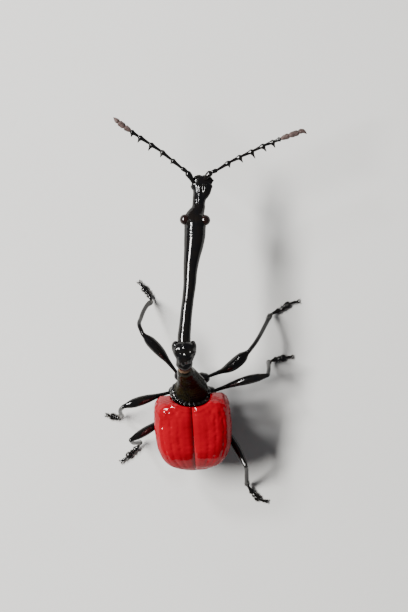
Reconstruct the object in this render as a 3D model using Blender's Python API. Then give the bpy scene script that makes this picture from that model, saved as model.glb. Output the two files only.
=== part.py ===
"""Giraffe weevil: a male with its long head held out, as a still, life-size model.

Metres, +Z up. The head points along +Y, the insect's right side is +X, and the origin lies on
the floor under the middle of the box round the whole insect. Every place and size below is in
millimetres; finish() turns a mesh into metres when its object is made.

A station is (x, y, z, half width, half height) of a cross-section.
"""

import math

import bmesh
import bpy
import numpy as np
from mathutils import Matrix, Vector

MM = 0.001

# Clearances, mm
GAP = 0.3
FINE_GAP = 0.2

# Least half thickness of a limb or a feeler, mm
LEAST = 0.24

# Colours, linear, with roughness
BLACK = (0.012, 0.011, 0.012, 0.18)
EYE_BROWN = (0.030, 0.010, 0.006, 0.08)
ELYTRA_RED = (0.62, 0.004, 0.006, 0.22)
CLUB_MAUVE = (0.16, 0.10, 0.10, 0.75)
FOOT_GREY = (0.05, 0.045, 0.04, 0.6)

# Directions
ACROSS = Vector((1.0, 0.0, 0.0))
UP = Vector((0.0, 0.0, 1.0))

# Head and neck, from the mouth back to the end of the neck
HEAD_STATIONS = (
    (-0.20, 9.00, 6.44, 0.64, 0.27),
    (-0.12, 8.70, 6.51, 0.73, 0.34),
    (-0.17, 8.33, 6.60, 0.58, 0.36),
    (-0.31, 7.80, 6.76, 0.44, 0.36),
    (-0.40, 7.30, 6.95, 0.42, 0.38),
    (-0.50, 6.90, 7.13, 0.54, 0.47),
    (-0.62, 6.40, 7.34, 0.70, 0.60),
    (-0.64, 5.60, 7.52, 0.76, 0.68),
    (-0.68, 5.00, 7.64, 0.72, 0.66),
    (-0.80, 4.00, 7.82, 0.57, 0.55),
    (-0.93, 3.00, 8.00, 0.47, 0.47),
    (-1.02, 1.60, 8.22, 0.40, 0.40),
    (-1.18, 0.20, 8.40, 0.40, 0.40),
    (-1.35, -1.45, 8.58, 0.44, 0.44),
)
MOUTH_ROUND = 0.14
NECK_END_ROUND = 0.14
NECK_CUT_Y = 3.4

# Eyes: the centre, the radius, and how far the ball goes on inside the head
EYE_LEFT = (-1.31, 6.46, 7.47)
EYE_RIGHT = (0.07, 6.42, 7.47)
EYE_RADIUS = 0.34
EYE_SINK = 0.05

# Mandibles, at the right; the left one is the same about the middle of the mouth
MOUTH_MIDDLE_X = -0.16
MANDIBLE_STATIONS = (
    (0.31, 9.42, 6.26, 0.19, 0.17),
    (0.33, 9.52, 6.24, 0.16, 0.15),
    (0.21, 9.61, 6.22, 0.07, 0.07),
)

# Collar at the bend of the neck, with two lobes that point forward beside the neck
COLLAR_STATIONS = (
    (-1.35, -2.00, 8.66, 0.60, 0.54),
    (-1.35, -2.35, 8.68, 0.80, 0.65),
    (-1.34, -2.82, 8.64, 0.73, 0.64),
    (-1.36, -3.16, 8.53, 0.57, 0.54),
    (-1.35, -3.42, 8.38, 0.59, 0.55),
    (-1.33, -3.68, 8.12, 0.46, 0.43),
)
LOBE_CENTRE = (-1.34, -2.24, 8.68)
LOBE_OUT = 0.60
LOBE_RADII = (0.24, 0.37, 0.34)

# Prothorax, from the collar down to its wide base, with fine wrinkles round it
PROTHORAX_STATIONS = (
    (-1.30, -3.98, 7.66, 0.50, 0.48),
    (-1.24, -4.12, 7.10, 0.62, 0.59),
    (-1.11, -4.40, 6.30, 0.75, 0.68),
    (-0.96, -4.78, 5.40, 0.90, 0.82),
    (-0.86, -5.20, 4.60, 1.12, 0.98),
    (-0.93, -5.54, 4.06, 1.28, 1.06),
    (-0.95, -5.74, 3.86, 1.30, 1.06),
)
WRINKLE_DEPTH = 0.025
PROTHORAX_RINGS = 22

# Hind body: the middle of the elytra's front at their widest level, and how the body lies
HIND_FRONT = (-0.90, -5.86, 4.52)
HIND_PITCH = 14.0
HIND_YAW = 3.8
ELYTRA_LENGTH = 5.22
ELYTRA_HALF_WIDTH = 2.66
ELYTRA_HEIGHT = 2.10
ELYTRA_SQUARENESS = 3.1
ELYTRA_MARGIN = 0.62
ROOM_HEIGHT = 4.0

# Elytra along their length: share of the length, of the half width and of the height
ELYTRA_SHAPE = (
    (0.00, 0.82, 0.80),
    (0.04, 0.92, 0.91),
    (0.11, 0.98, 0.97),
    (0.28, 1.00, 1.00),
    (0.50, 1.00, 1.00),
    (0.70, 0.93, 0.92),
    (0.84, 0.79, 0.72),
    (0.94, 0.57, 0.46),
    (0.99, 0.33, 0.24),
)

# Thorax and abdomen under the elytra: along the hind body, drop, half width and half height
THORAX_SHAPE = (
    (0.10, 1.55, 1.05, 0.85),
    (0.60, 1.45, 1.45, 1.00),
    (1.30, 1.35, 1.80, 1.08),
    (2.05, 1.25, 1.95, 1.10),
    (2.45, 1.22, 2.00, 1.08),
)
ABDOMEN_SHAPE = (
    (2.75, 1.20, 2.02, 1.06),
    (3.40, 1.10, 1.98, 1.00),
    (4.10, 1.00, 1.70, 0.88),
    (4.62, 0.92, 1.20, 0.66),
    (4.92, 0.88, 0.72, 0.44),
)

ABDOMEN_PLATES = 5
SEAM_DEPTH = 0.03

# Antennae, root to tip: the scape, the funicle with its teeth, and the three-part club
SCAPE_LEFT = ((-1.00, 9.36, 6.80, 0.22, 0.22), (-1.34, 9.84, 6.74, 0.26, 0.26))
SCAPE_RIGHT = ((0.36, 9.60, 6.86, 0.22, 0.22), (0.66, 9.78, 6.82, 0.26, 0.26))
FUNICLE_LEFT = (
    (-1.60, 10.14, 6.70),
    (-2.22, 10.71, 6.66),
    (-3.05, 11.36, 6.70),
    (-3.88, 11.85, 6.76),
    (-4.82, 12.38, 6.84),
)
FUNICLE_RIGHT = (
    (1.00, 9.95, 6.74),
    (1.66, 10.44, 6.68),
    (2.49, 10.81, 6.70),
    (3.74, 11.40, 6.78),
    (4.80, 11.84, 6.80),
)
CLUB_LEFT = ((-5.11, 12.60, 6.86), (-5.60, 13.00, 6.90), (-6.18, 13.48, 6.90))
CLUB_RIGHT = ((5.13, 11.98, 6.80), (6.10, 12.40, 6.82), (7.06, 12.50, 6.74))
CLUB_SEGMENTS = 3
TOOTH_SHARES = (0.12, 0.34, 0.56, 0.78)
TOOTH_LENGTH = 0.34
TOOTH_RADIUS = 0.15

# Legs: the coxa's ball, the femur's middle and its knee end, the tibia's line below the knee
# down to the ankle, the foot's line along the floor, and the femur's half thickness
LEGS = {
    "leg_front_left": {
        "coxa": (-1.74, -4.42, 2.84),
        "femur": ((-3.20, -2.58, 3.90), (-4.24, -1.54, 4.46)),
        "tibia": ((-4.54, -0.70, 3.80), (-4.24, 0.22, 2.20), (-3.84, 0.78, 0.72)),
        "foot": ((-3.80, 0.98), (-3.93, 1.30), (-4.28, 1.78), (-4.64, 2.02)),
        "thick": 0.35,
    },
    "leg_front_right": {
        "coxa": (0.06, -4.58, 2.84),
        "femur": ((1.94, -3.72, 3.60), (3.06, -2.76, 3.92)),
        "tibia": ((3.86, -1.76, 3.00), (4.34, -0.86, 1.76), (4.78, -0.12, 0.70)),
        "foot": ((4.98, 0.02), (5.57, 0.29), (6.12, 0.66), (6.60, 0.76)),
        "thick": 0.37,
    },
    "leg_mid_left": {
        "coxa": (-2.16, -5.52, 2.62),
        "femur": ((-4.15, -6.08, 3.50), (-5.56, -6.54, 3.76)),
        "tibia": ((-5.88, -6.96, 2.50), (-5.90, -7.18, 1.60), (-5.90, -7.36, 0.74)),
        "foot": ((-5.96, -7.52), (-6.30, -7.46), (-6.70, -7.34), (-6.90, -7.30)),
        "thick": 0.30,
    },
    "leg_mid_right": {
        "coxa": (0.50, -5.55, 2.64),
        "femur": ((2.60, -4.82, 3.45), (4.40, -4.40, 3.66)),
        "tibia": ((4.56, -3.92, 2.40), (4.58, -3.70, 1.60), (4.62, -3.50, 0.74)),
        "foot": ((4.78, -3.42), (5.20, -3.30), (5.80, -3.20), (6.14, -3.16)),
        "thick": 0.28,
    },
    "leg_rear_left": {
        "coxa": (-1.95, -7.05, 1.68),
        "femur": ((-3.66, -8.05, 2.90), (-5.10, -8.88, 3.68)),
        "tibia": ((-4.90, -9.16, 2.20), (-4.72, -9.20, 1.50), (-4.52, -9.22, 0.72)),
        "foot": ((-4.66, -9.46), (-5.00, -9.84), (-5.50, -10.30), (-5.92, -10.58)),
        "thick": 0.27,
    },
    "leg_rear_right": {
        "coxa": (0.40, -7.05, 1.68),
        "femur": ((1.84, -8.75, 2.55), (2.92, -10.66, 3.52)),
        "tibia": ((3.00, -11.20, 2.40), (3.02, -11.70, 1.60), (3.06, -12.20, 0.72)),
        "foot": ((3.18, -12.44), (3.60, -12.98), (4.04, -13.34), (4.46, -13.44)),
        "thick": 0.26,
    },
}
COXA_RADIUS = 0.36
FEMUR_SHAPE = ((0.0, 0.0), (0.35, 0.25), (0.70, 1.0), (0.90, 0.8), (1.0, 0.2))
LIMB_END_ROUND = 0.10
FOOT_HALF_HEIGHT = 0.24
FOOT_LEVEL = 0.19
FOOT_WIDTHS = (
    (0.00, 0.22),
    (0.22, 0.27),
    (0.30, 0.22),
    (0.52, 0.31),
    (0.66, 0.22),
    (0.85, 0.20),
    (1.00, 0.17),
)
CLAW_LENGTH = 0.36
CLAW_RADIUS = 0.085
CLAW_SPREAD = 26.0


def curve(rows, count):
    """Rows at even steps along a smooth curve through the given rows."""
    rows = np.array(rows, float)
    steps = np.linalg.norm(np.diff(rows[:, :3], axis=0), axis=1)
    at = np.concatenate(([0.0], np.cumsum(steps)))
    slopes = np.gradient(rows, at, axis=0)
    found = []
    for here in np.linspace(0.0, at[-1], count):
        i = min(int(np.searchsorted(at, here, side="right")) - 1, len(at) - 2)
        step = at[i + 1] - at[i]
        t = (here - at[i]) / step
        found.append(
            (2 * t**3 - 3 * t**2 + 1) * rows[i]
            + (t**3 - 2 * t**2 + t) * step * slopes[i]
            + (3 * t**2 - 2 * t**3) * rows[i + 1]
            + (t**3 - t**2) * step * slopes[i + 1]
        )
    return np.array(found)


def rounded(rows, lengths):
    """Adds rings that round off the first and last end, each by a length (0 leaves it flat)."""
    rows = [np.array(row, float) for row in rows]
    out = list(rows)
    for end, length in enumerate(lengths):
        if not length:
            continue
        here, inner = (rows[0], rows[1]) if end == 0 else (rows[-1], rows[-2])
        away = here[:3] - inner[:3]
        away = away / np.linalg.norm(away)
        for angle in (35.0, 62.0, 82.0):
            turn = math.radians(angle)
            ring = here.copy()
            ring[:3] += away * length * math.sin(turn)
            ring[3:] *= math.cos(turn)
            out = [ring] + out if end == 0 else out + [ring]
    return out


def loft(rows, across=ACROSS, sides=16, squareness=2.0):
    """A closed bmesh through cross-sections, whose half widths lie along the across direction."""
    bm = bmesh.new()
    rows = [np.array(row, float) for row in rows]
    places = [Vector(row[:3]) for row in rows]
    count = len(rows)
    placings = []
    for i, row in enumerate(rows):
        along = (places[min(i + 1, count - 1)] - places[max(i - 1, 0)]).normalized()
        side = (across - along * across.dot(along)).normalized()
        top = side.cross(along)
        turn = Matrix((side * row[3], top * row[4], -along)).transposed().to_4x4()
        placings.append(Matrix.Translation(places[i]) @ turn)
    ring = bmesh.ops.create_circle(bm, segments=sides, radius=1.0)["verts"]
    for vert in ring:
        x, y = vert.co.x, vert.co.y
        vert.co.x = math.copysign(abs(x) ** (2 / squareness), x)
        vert.co.y = math.copysign(abs(y) ** (2 / squareness), y)
    bmesh.ops.transform(bm, matrix=placings[0], verts=ring)
    edges = bm.edges[:]
    bmesh.ops.contextual_create(bm, geom=edges)
    for before, after in zip(placings, placings[1:]):
        made = bmesh.ops.extrude_edge_only(bm, edges=edges)["geom"]
        verts = [item for item in made if isinstance(item, bmesh.types.BMVert)]
        edges = [item for item in made if isinstance(item, bmesh.types.BMEdge)]
        bmesh.ops.transform(bm, matrix=after @ before.inverted(), verts=verts)
    bmesh.ops.contextual_create(bm, geom=edges)
    bmesh.ops.recalc_face_normals(bm, faces=bm.faces[:])
    return bm


def ball(centre, radii, rings=8, sides=12):
    """A closed bmesh of an upright ellipsoid."""
    bm = bmesh.new()
    bmesh.ops.create_uvsphere(bm, u_segments=sides, v_segments=rings, radius=1.0)
    bmesh.ops.scale(bm, vec=Vector(radii), verts=bm.verts[:])
    bmesh.ops.translate(bm, vec=Vector(centre), verts=bm.verts[:])
    return bm


def slice_off(bm, point, normal):
    """Cuts away what lies on the side that the normal points to, and closes the cut."""
    geometry = bm.verts[:] + bm.edges[:] + bm.faces[:]
    bmesh.ops.bisect_plane(
        bm, geom=geometry, dist=1e-5, plane_co=point, plane_no=normal, clear_outer=True
    )
    rim = [edge for edge in bm.edges if edge.is_boundary]
    bmesh.ops.holes_fill(bm, edges=rim, sides=0)
    return bm


def loose_object(name, bm):
    """An object in millimetres from a bmesh, which is freed."""
    mesh = bpy.data.meshes.new(name)
    bmesh.ops.triangulate(bm, faces=[face for face in bm.faces if len(face.verts) > 4])
    bm.to_mesh(mesh)
    bm.free()
    piece = bpy.data.objects.new(name, mesh)
    bpy.context.scene.collection.objects.link(piece)
    return piece


def combine(bm, others, operation):
    """A bmesh of the first closed mesh with the others joined to it or cut from it."""
    base = loose_object("base", bm)
    group = bpy.data.collections.new("joined")
    bpy.context.scene.collection.children.link(group)
    for index, other in enumerate(others):
        piece = loose_object(f"joined_{index}", other)
        bpy.context.scene.collection.objects.unlink(piece)
        group.objects.link(piece)
    change = base.modifiers.new("combine", "BOOLEAN")
    change.operation = operation
    change.solver = "EXACT"
    change.operand_type = "COLLECTION"
    change.collection = group
    bpy.context.view_layer.update()
    done = bpy.data.meshes.new_from_object(base.evaluated_get(bpy.context.evaluated_depsgraph_get()))
    result = bmesh.new()
    result.from_mesh(done)
    for piece in [base, *group.objects]:
        bpy.data.objects.remove(piece)
    bpy.data.collections.remove(group)
    bpy.data.meshes.remove(done)
    return largest(result)


def largest(bm):
    """Keeps the closed surface that holds the most volume and drops loose scraps."""
    left = set(bm.verts)
    shells = []
    while left:
        grown = {left.pop()}
        edge_of = list(grown)
        while edge_of:
            vert = edge_of.pop()
            for edge in vert.link_edges:
                other = edge.other_vert(vert)
                if other in left:
                    left.discard(other)
                    grown.add(other)
                    edge_of.append(other)
        shells.append(grown)

    def size(shell):
        spots = np.array([vert.co for vert in shell])
        return float(np.prod(spots.max(0) - spots.min(0)))

    shells.sort(key=size)
    scraps = [vert for shell in shells[:-1] for vert in shell]
    if scraps:
        bmesh.ops.delete(bm, geom=scraps, context="VERTS")
    return bm


def finish(name, bm, colour):
    """The node's object in metres, shaded smooth, with its own material."""
    bmesh.ops.scale(bm, vec=Vector((MM, MM, MM)), verts=bm.verts[:])
    bmesh.ops.recalc_face_normals(bm, faces=bm.faces[:])
    node = loose_object(name, bm)
    node.data.shade_smooth()
    node.data.set_sharp_from_angle(angle=math.radians(50))
    material = bpy.data.materials.new(name)
    material.use_nodes = True
    shader = material.node_tree.nodes["Principled BSDF"]
    shader.inputs["Base Color"].default_value = (*colour[:3], 1.0)
    shader.inputs["Roughness"].default_value = colour[3]
    shader.inputs["Metallic"].default_value = 0.0
    node.data.materials.append(material)
    return node


def make_head():
    """Rostrum, head capsule and neck as one form, parted by a thin cut behind the capsule."""
    rows = rounded(curve(HEAD_STATIONS, 34), (MOUTH_ROUND, NECK_END_ROUND))
    back = Vector((0.0, -1.0, 0.0))
    half = GAP / 2
    head = slice_off(loft(rows, sides=18), (0.0, NECK_CUT_Y + half, 0.0), back)
    neck = slice_off(loft(rows, sides=18), (0.0, NECK_CUT_Y - half, 0.0), -back)
    sockets = [
        eye_ball(centre, side, EYE_RADIUS + FINE_GAP, EYE_SINK + FINE_GAP)
        for centre, side in ((EYE_LEFT, -1), (EYE_RIGHT, 1))
    ]
    finish("head", combine(head, sockets, "DIFFERENCE"), BLACK)
    finish("neck", neck, BLACK)


def eye_ball(centre, side, radius, sink):
    """A ball cut flat on its inner side, a little inside its middle."""
    bm = ball(centre, (radius, radius, radius), rings=10, sides=14)
    inner = Vector(centre) - ACROSS * side * sink
    return slice_off(bm, inner, ACROSS * -side)


def make_eyes():
    for name, centre, side in (("eye_left", EYE_LEFT, -1), ("eye_right", EYE_RIGHT, 1)):
        finish(name, eye_ball(centre, side, EYE_RADIUS, EYE_SINK), EYE_BROWN)


def make_mandibles():
    """Two short jaws that curve in towards each other in front of the mouth."""
    for name, side in (("mandible_left", -1), ("mandible_right", 1)):
        rows = [
            (MOUTH_MIDDLE_X + side * x, y, z, width, height)
            for x, y, z, width, height in MANDIBLE_STATIONS
        ]
        rows = rounded(curve(rows, 5), (0.05, 0.05))
        finish(name, loft(rows, sides=8), BLACK)


def make_collar():
    rows = rounded(curve(COLLAR_STATIONS, 12), (0.06, 0.08))
    lobes = []
    for side in (-1, 1):
        x, y, z = LOBE_CENTRE
        lobes.append(ball((x + side * LOBE_OUT, y, z), LOBE_RADII))
    finish("neck_collar", combine(loft(rows, sides=18), lobes, "UNION"), BLACK)


def prothorax_rows(grow=0.0):
    """The prothorax's cross-sections, wrinkled, and grown all round by a clearance."""
    rows = curve(PROTHORAX_STATIONS, PROTHORAX_RINGS)
    for index, row in enumerate(rows):
        row[3:] += grow
        if not grow and 3 < index < PROTHORAX_RINGS - 4:
            row[3:] -= WRINKLE_DEPTH * (index % 2)
    return rows


def coxa_sockets(*pairs):
    """Balls a clearance larger than the coxae of the named pairs of legs."""
    radius = COXA_RADIUS + FINE_GAP
    names = [f"leg_{pair}_{side}" for pair in pairs for side in ("left", "right")]
    return [ball(LEGS[name]["coxa"], (radius, radius, radius)) for name in names]


def rear_grooves():
    """The rear femora grown by a clearance, for the grooves that they lie in."""
    return [femur(LEGS[f"leg_rear_{side}"], FINE_GAP) for side in ("left", "right")]


def make_prothorax():
    body = loft(rounded(prothorax_rows(), (0.06, 0)), sides=22)
    finish("prothorax", combine(body, coxa_sockets("front"), "DIFFERENCE"), BLACK)


def hind_turn():
    """Turns the hind body's own frame (x right, y forward, z up) into the model's frame."""
    return Matrix.Rotation(math.radians(HIND_YAW), 3, "Z") @ Matrix.Rotation(
        math.radians(HIND_PITCH), 3, "X"
    )


def hind_place(back, rise=0.0, right=0.0):
    """A point of the hind body, by how far it lies back, up and right of HIND_FRONT."""
    return Vector(HIND_FRONT) + hind_turn() @ Vector((right, -back, rise))


def hind_rows(shape):
    """Cross-sections from rows of (back, drop, half width, half height)."""
    return [(*hind_place(back, -drop), width, height) for back, drop, width, height in shape]


def make_elytra():
    """Two domed wing cases that meet along the suture, hollowed in front for the prothorax."""
    shape = [
        (share * ELYTRA_LENGTH, 0.0, wide * ELYTRA_HALF_WIDTH, high * ELYTRA_HEIGHT)
        for share, wide, high in ELYTRA_SHAPE
    ]
    rows = rounded(curve(hind_rows(shape), 17), (0.05, 0.06))
    right = hind_turn() @ ACROSS
    up = hind_turn() @ UP
    for name, side in (("elytron_left", -1), ("elytron_right", 1)):
        dome = loft(rows, across=right, sides=30, squareness=ELYTRA_SQUARENESS)
        slice_off(dome, hind_place(0.0, 0.0, side * GAP / 2), right * -side)
        slice_off(dome, hind_place(0.0, -ELYTRA_MARGIN), -up)
        finish(name, combine(dome, [prothorax_room()], "DIFFERENCE"), ELYTRA_RED)


def prothorax_room():
    """What the wing cases leave free: the prothorax's base and all that stands above it."""
    base = prothorax_rows(GAP)[-1]
    step = base[:3] - prothorax_rows()[-2][:3]
    low = base.copy()
    low[:3] += step / np.linalg.norm(step) * GAP
    room = loft([low, base], sides=32)
    lid = max((face for face in room.faces if len(face.verts) > 4), key=lambda face: face.calc_center_median().z)
    lifted = bmesh.ops.extrude_face_region(room, geom=[lid])["geom"]
    verts = [item for item in lifted if isinstance(item, bmesh.types.BMVert)]
    bmesh.ops.translate(room, vec=UP * ROOM_HEIGHT, verts=verts)
    bmesh.ops.delete(room, geom=[lid], context="FACES")
    bmesh.ops.recalc_face_normals(room, faces=room.faces[:])
    return room


def make_trunk():
    """Thorax and abdomen, flat on top where the elytra lie over them."""
    up = hind_turn() @ UP
    right = hind_turn() @ ACROSS
    under = hind_place(0.0, -ELYTRA_MARGIN - GAP)
    base = curve(PROTHORAX_STATIONS, PROTHORAX_RINGS)
    facing = Vector(base[-1][:3] - base[-2][:3]).normalized()
    front = Vector(base[-1][:3]) + facing * GAP
    thorax = loft(rounded(curve(hind_rows(THORAX_SHAPE), 10), (0.1, 0)), across=right, sides=24)
    slice_off(thorax, under, up)
    slice_off(thorax, front, -facing)
    thorax = combine(thorax, [*coxa_sockets("mid", "rear"), *rear_grooves()], "DIFFERENCE")
    finish("thorax", thorax, BLACK)
    plates = curve(hind_rows(ABDOMEN_SHAPE), 2 * ABDOMEN_PLATES + 2)
    for seam in plates[2:-1:2]:
        seam[3:] -= SEAM_DEPTH
    abdomen = loft(rounded(plates, (0, 0.1)), across=right, sides=24)
    slice_off(abdomen, under, up)
    finish("abdomen", combine(abdomen, rear_grooves(), "DIFFERENCE"), BLACK)


def flat_side(points):
    """The level direction across a limb that runs through the points."""
    run = Vector(points[-1]) - Vector(points[0])
    return Vector((run.y, -run.x, 0.0)).normalized()


def limb(points, thickness, count, ends, sides=10):
    """A round limb along a smooth line, with a half thickness for each share of its length."""
    line = curve(points, count)
    rows = [
        (*place, thickness(share), thickness(share))
        for place, share in zip(line, np.linspace(0.0, 1.0, count))
    ]
    return loft(rounded(rows, ends), across=flat_side(points), sides=sides)


def make_scape(name, stations):
    rows = rounded(curve(stations, 4), (0.08, 0.08))
    finish(name, loft(rows, across=UP, sides=10), BLACK)


def make_funicle(name, points, side):
    """The antenna's long middle part, with small teeth at its joints."""
    line = curve(points, 12)
    rows = rounded([(*place, LEAST, LEAST) for place in line], (0.08, 0.08))
    stem = loft(rows, across=UP, sides=8)
    teeth = []
    for share in TOOTH_SHARES:
        at = share * (len(line) - 1)
        index = int(at)
        here = Vector(line[index])
        along = (Vector(line[index + 1]) - here).normalized()
        out = along.cross(UP).normalized() * side
        tip = here + out * (LEAST + TOOTH_LENGTH * 0.7) + along * TOOTH_LENGTH * 0.6
        root = here + out * LEAST * 0.3
        rows = [(*root, TOOTH_RADIUS, TOOTH_RADIUS), (*tip, 0.05, 0.05)]
        teeth.append(loft(rows, across=UP, sides=6))
    finish(name, combine(stem, teeth, "UNION"), BLACK)


def make_club(name, points):
    """Three close segments that swell and end in a point."""
    count = 4 * CLUB_SEGMENTS + 1
    line = curve(points, count)
    rows = []
    for index, place in enumerate(line):
        share = index / (count - 1)
        swell = abs(math.sin(math.pi * CLUB_SEGMENTS * share))
        taper = min(1.0, (1.0 - share) / 0.3 + 0.12)
        half = (LEAST + 0.05 * swell) * taper
        rows.append((*place, half, half))
    finish(name, loft(rounded(rows, (0.06, 0.03)), across=UP, sides=8), CLUB_MAUVE)


def make_antennae():
    make_scape("antenna_left_scape", SCAPE_LEFT)
    make_scape("antenna_right_scape", SCAPE_RIGHT)
    make_funicle("antenna_left_funicle", FUNICLE_LEFT, -1)
    make_funicle("antenna_right_funicle", FUNICLE_RIGHT, 1)
    make_club("antenna_left_club", CLUB_LEFT)
    make_club("antenna_right_club", CLUB_RIGHT)


def read_off(pairs, share):
    """A value between pairs of (share, value)."""
    shares, values = zip(*pairs)
    return float(np.interp(share, shares, values))


def make_foot(name, points):
    """A foot of swelling pads and two claws, cut flat where it stands on the floor."""
    line = curve([(x, y, FOOT_LEVEL) for x, y in points], 13)
    rows = []
    for place, share in zip(line, np.linspace(0.0, 1.0, len(line))):
        half = read_off(FOOT_WIDTHS, share)
        rows.append((*place, half, min(half, FOOT_HALF_HEIGHT)))
    across = flat_side([line[0], line[-1]])
    sole = loft(rounded(rows, (0.1, 0.1)), across=across, sides=8)
    ahead = Vector(line[-1] - line[-2]).normalized()
    claws = []
    for side in (-1, 1):
        way = Matrix.Rotation(math.radians(CLAW_SPREAD) * side, 3, "Z") @ ahead
        root = Vector(line[-1]) - ahead * 0.04
        bend = root + way * CLAW_LENGTH * 0.6 + UP * 0.03
        tip = root + way * CLAW_LENGTH - UP * 0.1
        rows = curve(
            [(*root, CLAW_RADIUS, CLAW_RADIUS), (*bend, 0.07, 0.07), (*tip, 0.025, 0.025)], 4
        )
        claws.append(loft(rows, across=flat_side([root, tip]), sides=5))
    foot = combine(sole, claws, "UNION")
    finish(name, slice_off(foot, (0.0, 0.0, 0.0), -UP), FOOT_GREY)


def hip_end(leg):
    """Where the femur starts: clear of the coxa's ball, towards the femur's middle."""
    centre = Vector(leg["coxa"])
    way = (Vector(leg["femur"][0]) - centre).normalized()
    return centre + way * (COXA_RADIUS + FINE_GAP + LIMB_END_ROUND)


def knee_end(leg):
    """Where the tibia starts: far enough from the knee to clear the femur at this bend."""
    middle, knee = (Vector(point) for point in leg["femur"])
    below = Vector(leg["tibia"][0])
    way = (below - knee).normalized()
    bend = way.angle(middle - knee)
    reach = 2 * LEAST + FINE_GAP
    if bend < math.pi / 2:
        reach /= math.sin(bend)
    return knee + way * reach


def femur(leg, grow=0.0):
    """The upper leg, thickest past its middle, and grown all round by a clearance."""

    def half(share):
        return LEAST + (leg["thick"] - LEAST) * read_off(FEMUR_SHAPE, share) + grow

    end = LIMB_END_ROUND + grow
    return limb((hip_end(leg), *leg["femur"]), half, 10, (end, end))


def tibia(leg):
    """The lower leg, as thick all the way."""
    line = (knee_end(leg), *leg["tibia"])
    return limb(line, lambda share: LEAST, 9, (LIMB_END_ROUND, LIMB_END_ROUND), sides=8)


def make_leg(name, leg):
    radius = COXA_RADIUS
    finish(f"{name}_coxa", ball(leg["coxa"], (radius, radius, radius), rings=7, sides=10), BLACK)
    finish(f"{name}_femur", femur(leg), BLACK)
    finish(f"{name}_tibia", tibia(leg), BLACK)
    make_foot(f"{name}_tarsus", leg["foot"])


def main():
    for old in list(bpy.data.objects):
        bpy.data.objects.remove(old)
    make_head()
    make_eyes()
    make_mandibles()
    make_collar()
    make_prothorax()
    make_elytra()
    make_trunk()
    make_antennae()
    for name, leg in LEGS.items():
        make_leg(name, leg)


main()
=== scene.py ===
"""Looks of the giraffe weevil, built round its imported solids.

Everything is shaped in millimetres in the part's own frame: +Z up, the head points along +Y and
the insect's right side is +X. finish_piece() turns a form into metres.

A station is (x, y, z, half width, half height) of a cross-section.
"""

import math
import random

import bmesh
import bpy
import numpy as np
from bpy.props import FloatProperty, FloatVectorProperty, IntProperty, PointerProperty
from bpy.types import Operator, Panel, PropertyGroup
from mathutils import Matrix, Vector, noise


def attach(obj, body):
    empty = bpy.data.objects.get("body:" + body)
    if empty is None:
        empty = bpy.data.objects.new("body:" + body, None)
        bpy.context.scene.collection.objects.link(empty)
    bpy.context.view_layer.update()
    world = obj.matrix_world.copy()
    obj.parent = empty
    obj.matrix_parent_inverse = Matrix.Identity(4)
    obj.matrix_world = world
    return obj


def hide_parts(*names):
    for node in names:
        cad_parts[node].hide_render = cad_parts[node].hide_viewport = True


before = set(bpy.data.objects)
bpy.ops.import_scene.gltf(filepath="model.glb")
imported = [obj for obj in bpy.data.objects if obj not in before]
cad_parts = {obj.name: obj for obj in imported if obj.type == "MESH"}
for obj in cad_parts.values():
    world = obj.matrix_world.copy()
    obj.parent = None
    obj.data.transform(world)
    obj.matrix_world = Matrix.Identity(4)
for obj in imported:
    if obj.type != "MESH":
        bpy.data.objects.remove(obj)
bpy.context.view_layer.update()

bl_info = {
    "name": "Giraffe weevil",
    "version": (1, 0, 0),
    "blender": (4, 5, 0),
    "location": "3D View > Sidebar > Weevil",
    "description": "Builds the skin, wing cases, feelers and legs of a giraffe weevil",
    "category": "Object",
}

MM = 0.001
ACROSS = Vector((1.0, 0.0, 0.0))
UP = Vector((0.0, 0.0, 1.0))
SIDES = (("left", -1), ("right", 1))

# Rings that round off an end, by their angle in degrees
END_ANGLES = (25.0, 45.0, 62.0, 76.0, 86.0)

# Voxel sizes of the fused skins: full, and a coarser size that is not used
JAW_VOXELS = (0.016, 0.03)
COLLAR_VOXELS = (0.026, 0.05)
FEELER_VOXELS = (0.017, 0.034)
CLUB_VOXELS = (0.018, 0.034)
HIP_VOXELS = (0.03, 0.03)
LEG_VOXELS = (0.018, 0.036)

# Finishes: two colours, roughness from and to, pits (per mm, reach, depth in mm), patches (per
# mm, amount), then the weights of gloss, coat, sheen and metal
FINISHES = {
    "black_skin": ("black", "brown", (0.08, 0.15), (14.0, 0.34, 0.0010), (1.6, 0.5), 0.05, 0.10),
    # The wrinkled skin's second colour is a painted reflection, olive patches over the black
    "wrinkled_skin": ("black", "olive", (0.13, 0.24), (9.0, 0.40, 0.0012), (1.2, 0.7), 0.03, 0.02),
    "wing_skin": (
        "red", "deep_red", (0.13, 0.22), (7.0, 0.42, 0.0022), (0.8, 0.5), 0.02, 0.07, 0.0, 0.1
    ),
    "eye_skin": ("eye", "black", (0.07, 0.12), (28.0, 0.5, 0.003), (3.0, 0.6), 0.08, 0.12),
    "joint_skin": ("joint", "brown", (0.35, 0.5), (12.0, 0.4, 0.005), (2.5, 0.6), 0.10),
    "club_skin": ("mauve", "brown", (0.5, 0.7), (20.0, 0.45, 0.01), (3.0, 0.6), 0.2, 0.0, 0.2),
    "hair_finish": ("hair", "mauve", (0.5, 0.65), (30.0, 0.3, 0.002), (4.0, 0.4), 0.4, 0.0, 0.3),
}
FLOOR_FINISH = ((0.75, 0.85), (0.8, 0.3, 0.004), (0.05, 0.5))
FLOOR_SHADE = 0.96

# A thin, strong lacquer keeps glints white without pale edges
COAT_IOR = 4.0
COAT_ROUGHNESS = 0.11

# The down's sheen, the reflection's tint on the wing cases, and how much rougher a pit is
SHEEN_ROUGHNESS = 0.4
METAL_TINT = (1.0, 0.08, 0.06, 1.0)
PIT_DULLNESS = 0.25

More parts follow.
